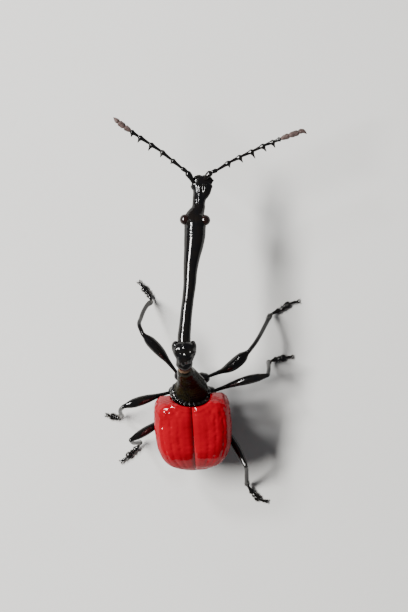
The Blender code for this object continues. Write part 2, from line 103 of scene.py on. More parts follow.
# Head and neck, from the mouth back into the collar
HEAD_STATIONS = (
    (-0.14, 9.38, 6.35, 0.59, 0.22),
    (-0.12, 9.24, 6.39, 0.72, 0.27),
    (-0.16, 9.03, 6.43, 0.68, 0.31),
    (-0.16, 8.75, 6.50, 0.73, 0.34),
    (-0.15, 8.54, 6.55, 0.66, 0.35),
    (-0.21, 8.29, 6.61, 0.58, 0.36),
    (-0.31, 7.98, 6.71, 0.48, 0.36),
    (-0.36, 7.63, 6.83, 0.44, 0.36),
    (-0.38, 7.35, 6.93, 0.46, 0.37),
    (-0.43, 7.14, 7.02, 0.49, 0.40),
    (-0.52, 6.93, 7.12, 0.58, 0.45),
    (-0.59, 6.72, 7.21, 0.68, 0.51),
    (-0.61, 6.37, 7.35, 0.72, 0.59),
    (-0.62, 5.88, 7.46, 0.75, 0.65),
    (-0.64, 5.33, 7.57, 0.74, 0.68),
    (-0.71, 4.70, 7.69, 0.68, 0.65),
    (-0.83, 3.87, 7.84, 0.57, 0.57),
    (-0.93, 2.98, 8.00, 0.49, 0.48),
    (-0.98, 2.01, 8.16, 0.44, 0.42),
    (-1.08, 1.12, 8.28, 0.41, 0.40),
    (-1.19, 0.23, 8.40, 0.41, 0.40),
    (-1.29, -0.80, 8.51, 0.42, 0.41),
    (-1.36, -1.63, 8.61, 0.45, 0.44),
    (-1.37, -2.24, 8.66, 0.46, 0.46),
)

# Ridges along the top of the snout: x in front, x behind, y in front, y behind, height, width
SNOUT_RIDGES = (
    (-0.54, -0.53, 8.85, 7.60, 0.016, 0.085),
    (-0.29, -0.31, 8.85, 7.30, 0.040, 0.090),
    (0.08, 0.05, 8.90, 8.40, 0.085, 0.095),
)
RIDGES_BEHIND = 7.2

# Groove between the ridges: x, y where it starts, y where it ends, depth, width
SNOUT_GROOVE = (-0.15, (7.9, 8.3), (8.9, 9.1), 0.05, 0.10)

# Lumps on the snout: x, y, z, height, width
SNOUT_LUMPS = (
    (-0.78, 9.05, 6.62, 0.07, 0.12),
    (0.12, 9.22, 6.60, 0.07, 0.12),
    (0.60, 9.20, 6.42, 0.10, 0.08),
    (0.58, 8.75, 6.48, 0.04, 0.10),
    (-0.88, 8.76, 6.48, 0.04, 0.10),
)

# Eyes, and the skin raised round them
EYES = {"left": (-1.31, 6.46, 7.47), "right": (0.07, 6.42, 7.47)}
EYE_RADIUS = 0.365
EYE_RING_RADIUS = EYE_RADIUS * 1.18
EYE_RING_RISE = 0.018
EYE_RING_WIDTH = 0.06

# Hollows between the eyes: x, y, depth, half width, half length; and where the head ends
HEAD_HOLLOWS = (
    (-0.62, 6.75, 0.05, 0.30, 0.35),
    (-0.63, 6.20, 0.03, 0.05, 0.50),
)
HEAD_BEHIND = 5.0

# Mandible at the right; the left one is the same about the middle of the mouth
MOUTH_MIDDLE_X = -0.16
MANDIBLE_STATIONS = (
    (0.28, 9.16, 6.26, 0.20, 0.14),
    (0.32, 9.34, 6.22, 0.19, 0.13),
    (0.26, 9.45, 6.20, 0.15, 0.10),
    (0.13, 9.53, 6.18, 0.08, 0.06),
)

# Knobs inside the mandibles: x from the middle, y, radius; and their level
MANDIBLE_KNOBS = ((0.10, 9.45, 0.05), (0.13, 9.34, 0.055))
KNOB_LEVEL = 6.25

# Palp at the right, and the lip plate
PALP_STATIONS = (
    (0.12, 9.30, 6.12, 0.05, 0.05),
    (0.15, 9.46, 6.08, 0.055, 0.055),
    (0.13, 9.58, 6.06, 0.03, 0.03),
)
LIP_STATIONS = (
    (-0.20, 9.12, 6.48, 0.56, 0.16),
    (-0.20, 9.28, 6.44, 0.54, 0.15),
    (-0.18, 9.41, 6.40, 0.48, 0.13),
    (-0.16, 9.50, 6.36, 0.36, 0.09),
)
LIP_SQUARENESS = 2.6

# Collar at the bend of the neck; then its lobes: middle, how far out they lie, and radii
COLLAR_STATIONS = (
    (-1.36, -2.04, 8.66, 0.48, 0.48),
    (-1.35, -2.26, 8.70, 0.78, 0.63),
    (-1.35, -2.54, 8.69, 0.81, 0.67),
    (-1.34, -2.86, 8.64, 0.73, 0.65),
    (-1.35, -3.08, 8.57, 0.62, 0.58),
    (-1.38, -3.24, 8.48, 0.55, 0.52),
    (-1.35, -3.44, 8.36, 0.59, 0.55),
    (-1.34, -3.66, 8.14, 0.48, 0.45),
)
LOBE_CENTRE = (-1.36, -2.32, 8.70)
LOBE_OUT = 0.60
LOBE_RADII = (0.26, 0.45, 0.37)

# Lumps on top of the collar: x, y, height, width
COLLAR_LUMPS = (
    (-1.36, -2.32, 0.11, 0.20),
    (-0.82, -2.66, 0.19, 0.19),
    (-0.66, -2.62, 0.06, 0.09),
    (-1.28, -2.88, 0.08, 0.11),
    (-1.92, -2.52, 0.08, 0.14),
    (-1.62, -3.32, 0.08, 0.10),
    (-1.22, -3.30, 0.08, 0.11),
    (-1.42, -3.52, 0.07, 0.09),
    (-0.92, -3.52, 0.06, 0.10),
)

# Soft joint behind the collar, and the height and closeness of its folds
JOINT_STATIONS = (
    (-1.32, -3.58, 8.22, 0.46, 0.44),
    (-1.32, -3.70, 8.09, 0.465, 0.445),
    (-1.31, -3.82, 7.94, 0.45, 0.43),
)
JOINT_FOLD_RISE = 0.02
JOINT_FOLDS = 42

# Prothorax, from the collar down to its wide base
PROTHORAX_STATIONS = (
    (-1.31, -3.80, 7.92, 0.46, 0.44),
    (-1.29, -3.96, 7.66, 0.54, 0.51),
    (-1.24, -4.12, 7.10, 0.62, 0.59),
    (-1.11, -4.40, 6.30, 0.75, 0.68),
    (-0.96, -4.78, 5.40, 0.90, 0.82),
    (-0.86, -5.20, 4.60, 1.12, 0.98),
    (-0.93, -5.54, 4.06, 1.28, 1.06),
    (-0.95, -5.74, 3.86, 1.30, 1.06),
)

# Wrinkles across the prothorax: spacing; and the groove before the rim: share, width, depth
WRINKLE_SPACING = 0.24
RIM_GROOVE = (0.895, 0.025, 0.05)

# Raised rim round the prothorax's base: rows of the cone that it covers, height, bumps round
# it, their height, and the stretch that spaces them along the oval
RIM_ROWS = 15
RIM_RISE = 0.15
RIM_BUMPS = 19
RIM_BUMP_RISE = 0.03
RIM_STRETCH = 1.6

# Hind body: the middle of the elytra's front at their widest level, how the body lies, and the
# elytra's size, squareness, depth below that level and gap at the suture
HIND_FRONT = (-0.90, -5.86, 4.52)
HIND_PITCH = 14.0
HIND_YAW = 3.8
ELYTRA_LENGTH = 5.22
ELYTRA_HALF_WIDTH = 2.66
ELYTRA_HEIGHT = 2.10
ELYTRA_SQUARENESS = 4.3
ELYTRA_MARGIN = 0.62
SUTURE_GAP = 0.006

# Room for the prothorax in the wing cases: clearance, depth below its base, height above, and
# the level over which faces are drawn up
ROOM_CLEARANCE = 0.10
ROOM_DEPTH = 0.5
ROOM_HEIGHT = 4.0
ROOM_LEVEL = 3.8

# Lines of the wing cases: degrees from the top that they fill, and degrees past which the skin
# is plain
LINES_ANGLE = 104.0
PLAIN_ANGLE = 112.0

# Heights on the wing cases: shoulders, front border, furrow behind it, suture, hollow of the
# back, long waves, small lumps, and the bead round the prothorax with the half widths of its oval
SHOULDER_RISE = 0.05
SHOULDER_OUT = 1.95
BORDER_RISE = 0.035
FURROW_DEPTH = 0.03
SUTURE_DEPTH = 0.006
HOLLOW_DEPTH = 0.05
WAVE_RISE = 0.030
LUMP_RISE = 0.040
BEAD_RISE = 0.05
BEAD_OVAL = (1.42, 0.98)

# Elytra along their length: share of the length, of the half width and of the height
ELYTRA_SHAPE = (
    (0.00, 0.82, 0.81),
    (0.02, 0.88, 0.88),
    (0.06, 0.94, 0.95),
    (0.11, 0.98, 0.984),
    (0.20, 1.00, 1.00),
    (0.50, 1.00, 1.00),
    (0.70, 0.93, 0.92),
    (0.84, 0.79, 0.72),
    (0.94, 0.57, 0.46),
    (0.99, 0.33, 0.24),
)

# Thorax and abdomen under the elytra: along the hind body, drop, half width and half height;
# then where they part, the gap between them, and how far they reach into the wing cases
TRUNK_SHAPE = (
    (-0.35, 1.10, 0.75, 0.60),
    (0.10, 1.45, 1.15, 0.90),
    (0.60, 1.45, 1.45, 1.00),
    (1.30, 1.35, 1.80, 1.08),
    (2.05, 1.25, 1.95, 1.10),
    (2.75, 1.20, 2.02, 1.06),
    (3.40, 1.10, 1.98, 1.00),
    (4.10, 1.00, 1.70, 0.88),
    (4.62, 0.92, 1.20, 0.66),
    (4.92, 0.88, 0.72, 0.44),
)
TRUNK_JOINT = 2.6
TRUNK_GAP = 0.03
TRUNK_LAP = 0.25

# Seams of the abdomen's plates, along the hind body, and the groove across the thorax
TRUNK_SEAMS = (2.75, 3.25, 3.70, 4.12, 4.50)
SEAM_DEPTH = 0.045
THORAX_GROOVE = 1.25
GROOVE_DEPTH = 0.03

# Antennae: the joints from the head to the club, the club's line, and the teeth's tips
ANTENNAE = {
    "left": {
        "scape": ((-0.72, 9.02, 6.62), (-0.92, 9.40, 6.70), (-1.20, 9.80, 6.74)),
        "joints": (
            (-1.16, 9.78, 6.74),
            (-1.54, 10.05, 6.72),
            (-2.24, 10.62, 6.68),
            (-2.98, 11.22, 6.66),
            (-3.75, 11.73, 6.70),
            (-4.51, 12.22, 6.76),
            (-5.06, 12.59, 6.84),
        ),
        "teeth": (
            None, (-2.29, 10.38), (-3.01, 10.85), (-3.84, 11.30), (-4.57, 11.86), (-5.03, 12.24)
        ),
        "club": (
            (-5.04, 12.58, 6.84), (-5.46, 12.87, 6.86), (-5.88, 13.19, 6.90), (-6.27, 13.55, 6.90)
        ),
    },
    "right": {
        "scape": ((0.06, 9.22, 6.64), (0.24, 9.52, 6.74), (0.52, 9.77, 6.78)),
        "joints": (
            (0.48, 9.74, 6.78),
            (0.90, 9.90, 6.76),
            (1.80, 10.47, 6.70),
            (2.58, 10.86, 6.68),
            (3.41, 11.24, 6.70),
            (4.19, 11.63, 6.74),
            (4.86, 11.88, 6.78),
            (5.28, 12.06, 6.80),
        ),
        "teeth": (
            None, (1.78, 10.12), (2.67, 10.48), (3.52, 10.76), (4.29, 11.24), (4.90, 11.50), None
        ),
        "club": (
            (5.26, 12.05, 6.80), (5.81, 12.26, 6.80), (6.37, 12.45, 6.82),
            (6.85, 12.60, 6.80), (7.12, 12.42, 6.74),
        ),
    },
}

# Legs: coxa, femur's middle and knee, tibia's line down to the ankle, foot's line along the
# floor, and the femur's half thickness
LEGS = {
    "leg_front_left": {
        "coxa": (-1.74, -4.42, 2.84),
        "femur": ((-3.20, -2.58, 3.90), (-4.30, -1.44, 4.42)),
        "tibia": (
            (-4.54, -0.86, 4.00), (-4.44, -0.34, 3.00), (-4.24, 0.22, 2.00),
            (-4.00, 0.60, 1.15), (-3.76, 0.78, 0.50),
        ),
        "foot": ((-3.76, 0.92), (-3.93, 1.30), (-4.28, 1.78), (-4.72, 2.28)),
        "thick": 0.38,
    },
    "leg_front_right": {
        "coxa": (0.06, -4.58, 2.84),
        "femur": ((1.94, -3.72, 3.60), (3.16, -2.66, 3.92)),
        "tibia": ((3.60, -2.10, 3.30), (4.34, -0.86, 1.76), (4.72, -0.14, 0.52)),
        "foot": ((4.86, -0.04), (5.57, 0.29), (6.12, 0.66), (6.86, 0.86)),
        "thick": 0.42,
    },
    "leg_mid_left": {
        "coxa": (-2.16, -5.52, 2.62),
        "femur": ((-4.15, -6.08, 3.50), (-5.66, -6.56, 3.76)),
        "tibia": ((-5.88, -6.80, 2.90), (-5.90, -7.18, 1.60), (-5.90, -7.34, 0.52)),
        "foot": ((-5.96, -7.46), (-6.30, -7.46), (-6.70, -7.34), (-7.05, -7.26)),
        "thick": 0.34,
    },
    "leg_mid_right": {
        "coxa": (0.50, -5.55, 2.64),
        "femur": ((2.60, -4.82, 3.45), (4.48, -4.36, 3.66)),
        "tibia": ((4.56, -4.02, 2.80), (4.58, -3.70, 1.60), (4.64, -3.48, 0.52)),
        "foot": ((4.78, -3.42), (5.20, -3.30), (5.80, -3.20), (6.38, -3.12)),
        "thick": 0.32,
    },
    "leg_rear_left": {
        "coxa": (-1.95, -7.05, 1.68),
        "femur": ((-3.66, -8.05, 2.90), (-5.16, -8.92, 3.64)),
        "tibia": ((-5.00, -9.14, 2.70), (-4.72, -9.20, 1.50), (-4.54, -9.24, 0.52)),
        "foot": ((-4.62, -9.42), (-5.00, -9.84), (-5.50, -10.30), (-6.00, -10.66)),
        "thick": 0.31,
    },
    "leg_rear_right": {
        "coxa": (0.40, -7.05, 1.68),
        "femur": ((1.84, -8.75, 2.55), (2.94, -10.72, 3.50)),
        "tibia": ((3.00, -11.10, 2.70), (3.02, -11.70, 1.60), (3.08, -12.24, 0.52)),
        "foot": ((3.18, -12.40), (3.60, -12.98), (4.04, -13.34), (4.60, -13.46)),
        "thick": 0.27,
    },
}

# Limbs along their length: share of the length, half thickness
SCAPE_HALVES = ((0.0, 0.12), (0.25, 0.15), (0.6, 0.20), (0.88, 0.20), (1.0, 0.13))
FIRST_SEGMENT_HALVES = ((0.0, 0.09), (0.3, 0.135), (0.7, 0.155), (0.92, 0.14), (1.0, 0.10))
SEGMENT_HALVES = ((0.0, 0.090), (0.25, 0.105), (0.65, 0.135), (0.90, 0.175), (1.0, 0.115))
TIBIA_HALVES = ((0.0, 0.15), (0.08, 0.15), (0.5, 0.15), (0.85, 0.165), (0.97, 0.185), (1.0, 0.15))
ANKLE_HALVES = ((0.0, 0.11), (0.5, 0.10), (1.0, 0.10))
LOBE_HALVES = ((0.0, 0.09), (0.4, 0.16), (0.8, 0.15), (1.0, 0.09))
STEM_HALVES = ((0.0, 0.06), (0.5, 0.075), (0.9, 0.10), (1.0, 0.075))
CLAW_HALVES = ((0.0, 0.055), (0.5, 0.045), (1.0, 0.018))

# Segments of a club: steps of its line from and to, rounding of the end, half thickness
CLUB_STEPS = 60
CLUB_SEGMENTS = (
    (0, 20, 0.02, ((0.0, 0.07), (0.2, 0.13), (0.6, 0.185), (0.92, 0.175), (1.0, 0.12))),
    (20, 40, 0.02, ((0.0, 0.12), (0.15, 0.18), (0.6, 0.20), (0.92, 0.175), (1.0, 0.12))),
    (40, 59, 0.01, ((0.0, 0.12), (0.15, 0.165), (0.5, 0.145), (0.85, 0.06), (1.0, 0.025))),
)

# Teeth of the feelers: root behind a segment's end, tip below it, and how much longer they are
TOOTH_BEHIND = 0.14
TOOTH_DROP = 0.08
TOOTH_LONGER = 0.05

# Hips: radii of the outer and the inner ball, and how far the inner one lies inwards
HIP_OUTER = (0.37, 0.37, 0.38)
HIP_INNER = (0.42, 0.42, 0.42)
HIP_INWARD = 0.24

# Femur's start beyond the coxa's middle, spurs at a tibia's end, and the bristles along it with
# the steps of its line that they grow on
FEMUR_START = 0.28
SPUR_LENGTH = 0.16
SPUR_HALF = 0.045
TIBIA_STEPS = 50
BRISTLE_STEPS = range(12, 46, 4)
BRISTLE_HALF = 0.028

# First two pads of a foot: share of its line from and to, level from and to, half thickness
PAD_SPANS = (
    (0.00, 0.27, 0.40, 0.20, ((0.0, 0.09), (0.5, 0.14), (0.9, 0.19), (1.0, 0.13))),
    (0.25, 0.42, 0.22, 0.19, ((0.0, 0.10), (0.5, 0.16), (0.9, 0.20), (1.0, 0.13))),
)

# Half of the cleft pad: share of the foot's line, level, distance from it
CLEFT_PAD = ((0.40, 0.17, 0.0), (0.52, 0.15, 0.07), (0.64, 0.13, 0.12))

# Thin claw segment: share of the foot's line, level
CLAW_STEM = ((0.50, 0.24), (0.70, 0.27), (0.88, 0.20))

# Claw: share of its reach, distance from the foot's line, rise
CLAW = ((0.0, 0.0, 0.0), (0.5, 0.08, 0.02), (1.0, 0.12, -0.15))

# Levels of the feet: the flat sole, the lowest hair, and the pads' hairy side
SOLE_LEVEL = 0.006
HAIR_FLOOR = 0.004
HAIRY_LEVELS = (0.05, 0.26)

# Studio, in metres: floor, sky, and lamps by name, power setting, size, place and colour
FLOOR_HALF = 1.5
SKY_COLOUR = (0.93, 0.95, 1.0, 1.0)
SKY_STRENGTH = 0.13
LAMPS = (
    ("key", "key_power", (0.125, 0.054), (-0.163, 0.030, 0.212), (1.0, 0.98, 0.95)),
    ("front", "fill_power", (0.04, 0.045), (-0.157, 0.146, 0.187), (1.0, 1.0, 1.0)),
)
LAMP_AIM = Vector((0.0, 0.0, 0.005))
CAMERA_FORWARD = 0.0005
SENSOR_HEIGHT = 24.0
CLIP_RANGE = (0.005, 10.0)


class WeevilSizes(PropertyGroup):
    """Sizes of the fine forms."""

    ridge_height: FloatProperty(
        name="Snout ridges", description="Share of the snout ridges' height", default=1.0, min=0.0
    )
    wrinkle_depth: FloatProperty(
        name="Wrinkle depth",
        description="Depth of the wrinkles across the prothorax",
        default=0.000020,
        unit="LENGTH",
    )
    stria_depth: FloatProperty(
        name="Stria depth",
        description="Depth of the lines along the wing cases",
        default=0.000032,
        unit="LENGTH",
    )
    stria_count: IntProperty(
        name="Striae", description="Lines along each wing case", default=10, min=1
    )
    tooth_thickness: FloatProperty(
        name="Tooth thickness",
        description="Half thickness of a feeler's tooth at its root",
        default=0.00013,
        unit="LENGTH",
    )
    hair_length: FloatProperty(
        name="Hair length",
        description="Length of the hairs under the feet",
        default=0.00012,
        unit="LENGTH",
    )


def colour(name, description, default):
    """A colour that the user may change."""
    return FloatVectorProperty(
        name=name,
        description=description,
        subtype="COLOR",
        size=4,
        min=0.0,
        max=1.0,
        default=default,
    )


class WeevilColours(PropertyGroup):
    """Colours of the finishes."""

    black: colour("Black skin", "Head, thorax and legs", (0.0025, 0.0025, 0.003, 1.0))
    brown: colour("Brown tint", "Tint in the black skin", (0.007, 0.005, 0.003, 1.0))
    # Painted reflection: this olive tint stands in for greenish light mirrored by the black cuticle
    olive: colour("Olive tint", "Tint in the wrinkled skin", (0.013, 0.011, 0.003, 1.0))
    red: colour("Wing red", "Wing cases", (0.28, 0.0, 0.007, 1.0))
    deep_red: colour("Deep red", "Edges and hollows of the wing cases", (0.17, 0.0, 0.0035, 1.0))
    eye: colour("Eye brown", "Eyes", (0.010, 0.003, 0.002, 1.0))
    joint: colour("Joint brown", "Soft skin at the neck's joint", (0.11, 0.065, 0.040, 1.0))
    mauve: colour("Club mauve", "Clubs of the feelers", (0.075, 0.046, 0.042, 1.0))
    hair: colour("Hair grey", "Hairs and foot pads", (0.20, 0.18, 0.155, 1.0))
    floor: colour("Floor", "Floor of the stage", (0.60, 0.60, 0.587, 1.0))


class WeevilStudio(PropertyGroup):
    """Camera and lights."""

    camera_height: FloatProperty(
        name="Camera height", description="Height above the floor", default=0.215, unit="LENGTH"
    )
    lens: FloatProperty(name="Lens", description="Focal length in millimetres", default=118.0)
    key_power: FloatProperty(name="Key light", description="Power in watts", default=1.9)
    fill_power: FloatProperty(name="Front light", description="Power in watts", default=0.5)


def curve(rows, count):
    """Rows at even steps along a smooth curve through the given rows."""
    rows = np.array(rows, float)
    steps = np.linalg.norm(np.diff(rows[:, :3], axis=0), axis=1)
    at = np.concatenate(([0.0], np.cumsum(steps)))
    slopes = np.gradient(rows, at, axis=0)
    found = []
    for here in np.linspace(0.0, at[-1], count):
        i = min(int(np.searchsorted(at, here, side="right")) - 1, len(at) - 2)
        step = at[i + 1] - at[i]
        t = (here - at[i]) / step
        found.append(
            (2 * t**3 - 3 * t**2 + 1) * rows[i]
            + (t**3 - 2 * t**2 + t) * step * slopes[i]
            + (3 * t**2 - 2 * t**3) * rows[i + 1]
            + (t**3 - t**2) * step * slopes[i + 1]
        )
    return np.array(found)


def rounded(rows, lengths):
    """Adds rings that round off the first and last end, each by a length (0 leaves it flat)."""
    rows = [np.array(row, float) for row in rows]
    out = list(rows)
    for end, length in enumerate(lengths):
        if not length:
            continue
        here, inner = (rows[0], rows[1]) if end == 0 else (rows[-1], rows[-2])
        away = here[:3] - inner[:3]
        away = away / np.linalg.norm(away)
        for angle in END_ANGLES:
            turn = math.radians(angle)
            ring = here.copy()
            ring[:3] += away * length * math.sin(turn)
            ring[3:] *= math.cos(turn)
            out = [ring] + out if end == 0 else out + [ring]
    return out


def loft(rows, across=ACROSS, sides=24, squareness=2.0):
    """A closed bmesh through cross-sections, whose half widths lie along the across direction."""
    bm = bmesh.new()
    rows = [np.array(row, float) for row in rows]
    places = [Vector(row[:3]) for row in rows]
    count = len(rows)
    placings = []
    for i, row in enumerate(rows):
        along = (places[min(i + 1, count - 1)] - places[max(i - 1, 0)]).normalized()
        side = (across - along * across.dot(along)).normalized()
        top = side.cross(along)
        turn = Matrix((side * row[3], top * row[4], -along)).transposed().to_4x4()
        placings.append(Matrix.Translation(places[i]) @ turn)
    ring = bmesh.ops.create_circle(bm, segments=sides, radius=1.0)["verts"]
    for vert in ring:
        x, y = vert.co.x, vert.co.y
        vert.co.x = math.copysign(abs(x) ** (2 / squareness), x)
        vert.co.y = math.copysign(abs(y) ** (2 / squareness), y)
    bmesh.ops.transform(bm, matrix=placings[0], verts=ring)
    edges = bm.edges[:]
    bmesh.ops.contextual_create(bm, geom=edges)
    for before, after in zip(placings, placings[1:]):
        made = bmesh.ops.extrude_edge_only(bm, edges=edges)["geom"]
        verts = [item for item in made if isinstance(item, bmesh.types.BMVert)]
        edges = [item for item in made if isinstance(item, bmesh.types.BMEdge)]
        bmesh.ops.transform(bm, matrix=after @ before.inverted(), verts=verts)
    bmesh.ops.contextual_create(bm, geom=edges)
    bmesh.ops.recalc_face_normals(bm, faces=bm.faces[:])
    return bm


def ball(centre, radii, rings=24, sides=36):
    """A closed bmesh of an upright ellipsoid."""
    bm = bmesh.new()
    bmesh.ops.create_uvsphere(bm, u_segments=sides, v_segments=rings, radius=1.0)
    bmesh.ops.scale(bm, vec=Vector(radii), verts=bm.verts[:])
    bmesh.ops.translate(bm, vec=Vector(centre), verts=bm.verts[:])
    return bm


def slice_off(bm, point, normal):
    """Cuts away what lies on the side that the normal points to, and closes the cut."""
    geometry = bm.verts[:] + bm.edges[:] + bm.faces[:]
    bmesh.ops.bisect_plane(
        bm, geom=geometry, dist=1e-6, plane_co=point, plane_no=normal, clear_outer=True
    )
    rim = [edge for edge in bm.edges if edge.is_boundary]
    bmesh.ops.holes_fill(bm, edges=rim, sides=0)
    return bm


def raise_skin(bm, height):
    """Moves each vertex out along its normal by height(place, normal)."""
    bm.normal_update()
    moves = [vert.normal * height(vert.co, vert.normal) for vert in bm.verts]
    for vert, move in zip(bm.verts, moves):
        vert.co += move
    return bm


def bell(distance, width):
    """1 at no distance, falling smoothly to nothing past the width."""
    return math.exp(-((distance / width) ** 2))


def fade(value, low, high):
    """0 below low, 1 above high and smooth between."""
    t = min(1.0, max(0.0, (value - low) / (high - low)))
    return t * t * (3 - 2 * t)


def grain(place, size, seed=0.0):
    """Smooth lumps of a size, from -1 to 1."""
    return noise.noise(Vector(place) / size + Vector((seed, seed * 1.7, -seed)))


def detail(full, quick):
    """The first value; the second one is not used."""
    return full


def loose_object(name, bm):
    """An object from a bmesh, which is freed."""
    mesh = bpy.data.meshes.new(name)
    bm.to_mesh(mesh)
    bm.free()
    piece = bpy.data.objects.new(name, mesh)
    bpy.context.scene.collection.objects.link(piece)
    return piece


def applied(piece):
    """A bmesh of the piece with its modifiers applied; the piece is removed."""
    bpy.context.view_layer.update()
    graph = bpy.context.evaluated_depsgraph_get()
    done = bpy.data.meshes.new_from_object(piece.evaluated_get(graph))
    result = bmesh.new()
    result.from_mesh(done)
    old = piece.data
    bpy.data.objects.remove(piece)
    bpy.data.meshes.remove(old)
    bpy.data.meshes.remove(done)
    return result


def fused(forms, voxels, smooth_rounds=3):
    """One closed skin over overlapping closed forms."""
    joined = bmesh.new()
    for form in forms:
        mesh = bpy.data.meshes.new("form")
        form.to_mesh(mesh)
        form.free()
        joined.from_mesh(mesh)
        bpy.data.meshes.remove(mesh)
    piece = loose_object("joined", joined)
    change = piece.modifiers.new("fuse", "REMESH")
    change.mode = "VOXEL"
    change.voxel_size = detail(*voxels)
    result = applied(piece)
    for _ in range(smooth_rounds):
        bmesh.ops.smooth_vert(
            result,
            verts=result.verts[:],
            factor=0.5,
            use_axis_x=True,
            use_axis_y=True,
            use_axis_z=True,
        )
    return result


def cut_away(bm, cutter):
    """The first form with the second cut out of it."""
    base = loose_object("base", bm)
    tool = loose_object("tool", cutter)
    change = base.modifiers.new("cut", "BOOLEAN")
    change.operation = "DIFFERENCE"
    change.solver = "EXACT"
    change.object = tool
    result = applied(base)
    old = tool.data
    bpy.data.objects.remove(tool)
    bpy.data.meshes.remove(old)
    return result


def finish_piece(name, bm, finish, nodes=()):
    """The piece in metres, riding on the part and standing for the named solids."""
    bmesh.ops.scale(bm, vec=Vector((MM, MM, MM)), verts=bm.verts[:])
    bmesh.ops.recalc_face_normals(bm, faces=bm.faces[:])
    piece = loose_object(name, bm)
    piece.data.shade_smooth()
    piece.data.materials.append(finish_named(finish))
    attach(piece, "root")
    if nodes:
        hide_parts(*nodes)
    return piece


def settings():
    """The user's sizes, colours and studio."""
    scene = bpy.context.scene
    return scene.weevil_sizes, scene.weevil_colours, scene.weevil_studio


def new_node(tree, kind, inputs=(), **values):
    """A shader node with its settings, and its inputs by name or number."""
    node = tree.nodes.new(kind)
    for key, value in values.items():
        setattr(node, key, value)
    for key, value in dict(inputs).items():
        if isinstance(value, bpy.types.NodeSocket):
            tree.links.new(value, node.inputs[key])
        else:
            node.inputs[key].default_value = value
    return node


def shader_group(name, sockets_in, sockets_out):
    """An empty node group with float and vector sockets, and its two ends."""
    group = bpy.data.node_groups.new(name, "ShaderNodeTree")
    for socket, kind in sockets_in:
        group.interface.new_socket(name=socket, in_out="INPUT", socket_type=f"NodeSocket{kind}")
    for socket, kind in sockets_out:
        group.interface.new_socket(name=socket, in_out="OUTPUT", socket_type=f"NodeSocket{kind}")
    return group, group.nodes.new("NodeGroupInput"), group.nodes.new("NodeGroupOutput")


def fine_pits():
    """Pits spread over a skin: height 1 between them and 0 in them."""
    if "fine_pits" in bpy.data.node_groups:
        return bpy.data.node_groups["fine_pits"]
    group, start, end = shader_group(
        "fine_pits",
        (("Place", "Vector"), ("Density", "Float"), ("Reach", "Float")),
        (("Height", "Float"), ("Pit", "Float")),
    )
    cells = new_node(
        group,
        "ShaderNodeTexVoronoi",
        {"Vector": start.outputs["Place"], "Scale": start.outputs["Density"], "Randomness": 0.9},
    )
    edge = new_node(
        group,
        "ShaderNodeMapRange",
        {"Value": cells.outputs["Distance"], "From Min": 0.0, "From Max": start.outputs["Reach"]},
        interpolation_type="SMOOTHSTEP",
    )
    height = edge.outputs["Result"]
    pit = new_node(group, "ShaderNodeMath", {0: 1.0, 1: height}, operation="SUBTRACT")
    group.links.new(height, end.inputs["Height"])
    group.links.new(pit.outputs[0], end.inputs["Pit"])
    return group


def soft_patches():
    """Uneven patches over a skin, from 0 to 1."""
    if "soft_patches" in bpy.data.node_groups:
        return bpy.data.node_groups["soft_patches"]
    group, start, end = shader_group(
        "soft_patches", (("Place", "Vector"), ("Density", "Float")), (("Patch", "Float"),)
    )
    cloud = new_node(
        group,
        "ShaderNodeTexNoise",
        {"Vector": start.outputs["Place"], "Scale": start.outputs["Density"], "Detail": 4.0},
    )
    spread = new_node(
        group,
        "ShaderNodeMapRange",
        {"Value": cloud.outputs["Fac"], "From Min": 0.35, "From Max": 0.68},
        interpolation_type="SMOOTHSTEP",
    )
    group.links.new(spread.outputs["Result"], end.inputs["Patch"])
    return group


def skin_finish(
    name, main, second, roughness, pits, patches, gloss=0.4, coat=0.0, sheen=0.0, metal=0.0
):
    """A skin with pits and patches: pits is (per mm, reach, depth mm), patches (per mm, amount)."""
    if name in bpy.data.materials:
        return bpy.data.materials[name]
    material = bpy.data.materials.new(name)
    material.use_nodes = True
    tree = material.node_tree
    shader = tree.nodes["Principled BSDF"]
    place = new_node(tree, "ShaderNodeTexCoord").outputs["Object"]
    scale = new_node(tree, "ShaderNodeVectorMath", {0: place, "Scale": 1 / MM}, operation="SCALE")
    place = scale.outputs[0]
    density, reach, depth = pits
    hollow = new_node(
        tree,
        "ShaderNodeGroup",
        {"Place": place, "Density": density, "Reach": reach},
        node_tree=fine_pits(),
    )
    density, amount = patches
    cloud = new_node(
        tree, "ShaderNodeGroup", {"Place": place, "Density": density}, node_tree=soft_patches()
    )
    patch = cloud.outputs["Patch"]
    share = new_node(tree, "ShaderNodeMath", {0: patch, 1: amount}, operation="MULTIPLY")
    mix = new_node(
        tree,
        "ShaderNodeMix",
        {0: share.outputs[0], 6: tuple(main), 7: tuple(second)},
        data_type="RGBA",
    )
    low, high = roughness
    rough = new_node(tree, "ShaderNodeMapRange", {"Value": patch, "To Min": low, "To Max": high})
    dull = new_node(
        tree,
        "ShaderNodeMath",
        {0: hollow.outputs["Pit"], 1: PIT_DULLNESS, 2: rough.outputs["Result"]},
        operation="MULTIPLY_ADD",
    )
    bump = new_node(
        tree,
        "ShaderNodeBump",
        {"Strength": 1.0, "Distance": depth * MM, "Height": hollow.outputs["Height"]},
    )
    tree.links.new(mix.outputs[2], shader.inputs["Base Color"])
    tree.links.new(dull.outputs[0], shader.inputs["Roughness"])
    tree.links.new(bump.outputs["Normal"], shader.inputs["Normal"])
    plain = {
        "Specular IOR Level": gloss,
        "Metallic": metal,
        "Coat Weight": coat,
        "Coat IOR": COAT_IOR,
        "Coat Roughness": COAT_ROUGHNESS,
        "Sheen Weight": sheen,
        "Sheen Roughness": SHEEN_ROUGHNESS,
    }
    if metal:
        plain["Specular Tint"] = METAL_TINT
    for socket, value in plain.items():
        shader.inputs[socket].default_value = value
    return material


def finish_named(name):
    """The finish of that name."""
    main, second, *rest = FINISHES[name]
    colours = settings()[1]
    return skin_finish(name, getattr(colours, main), getattr(colours, second), *rest)


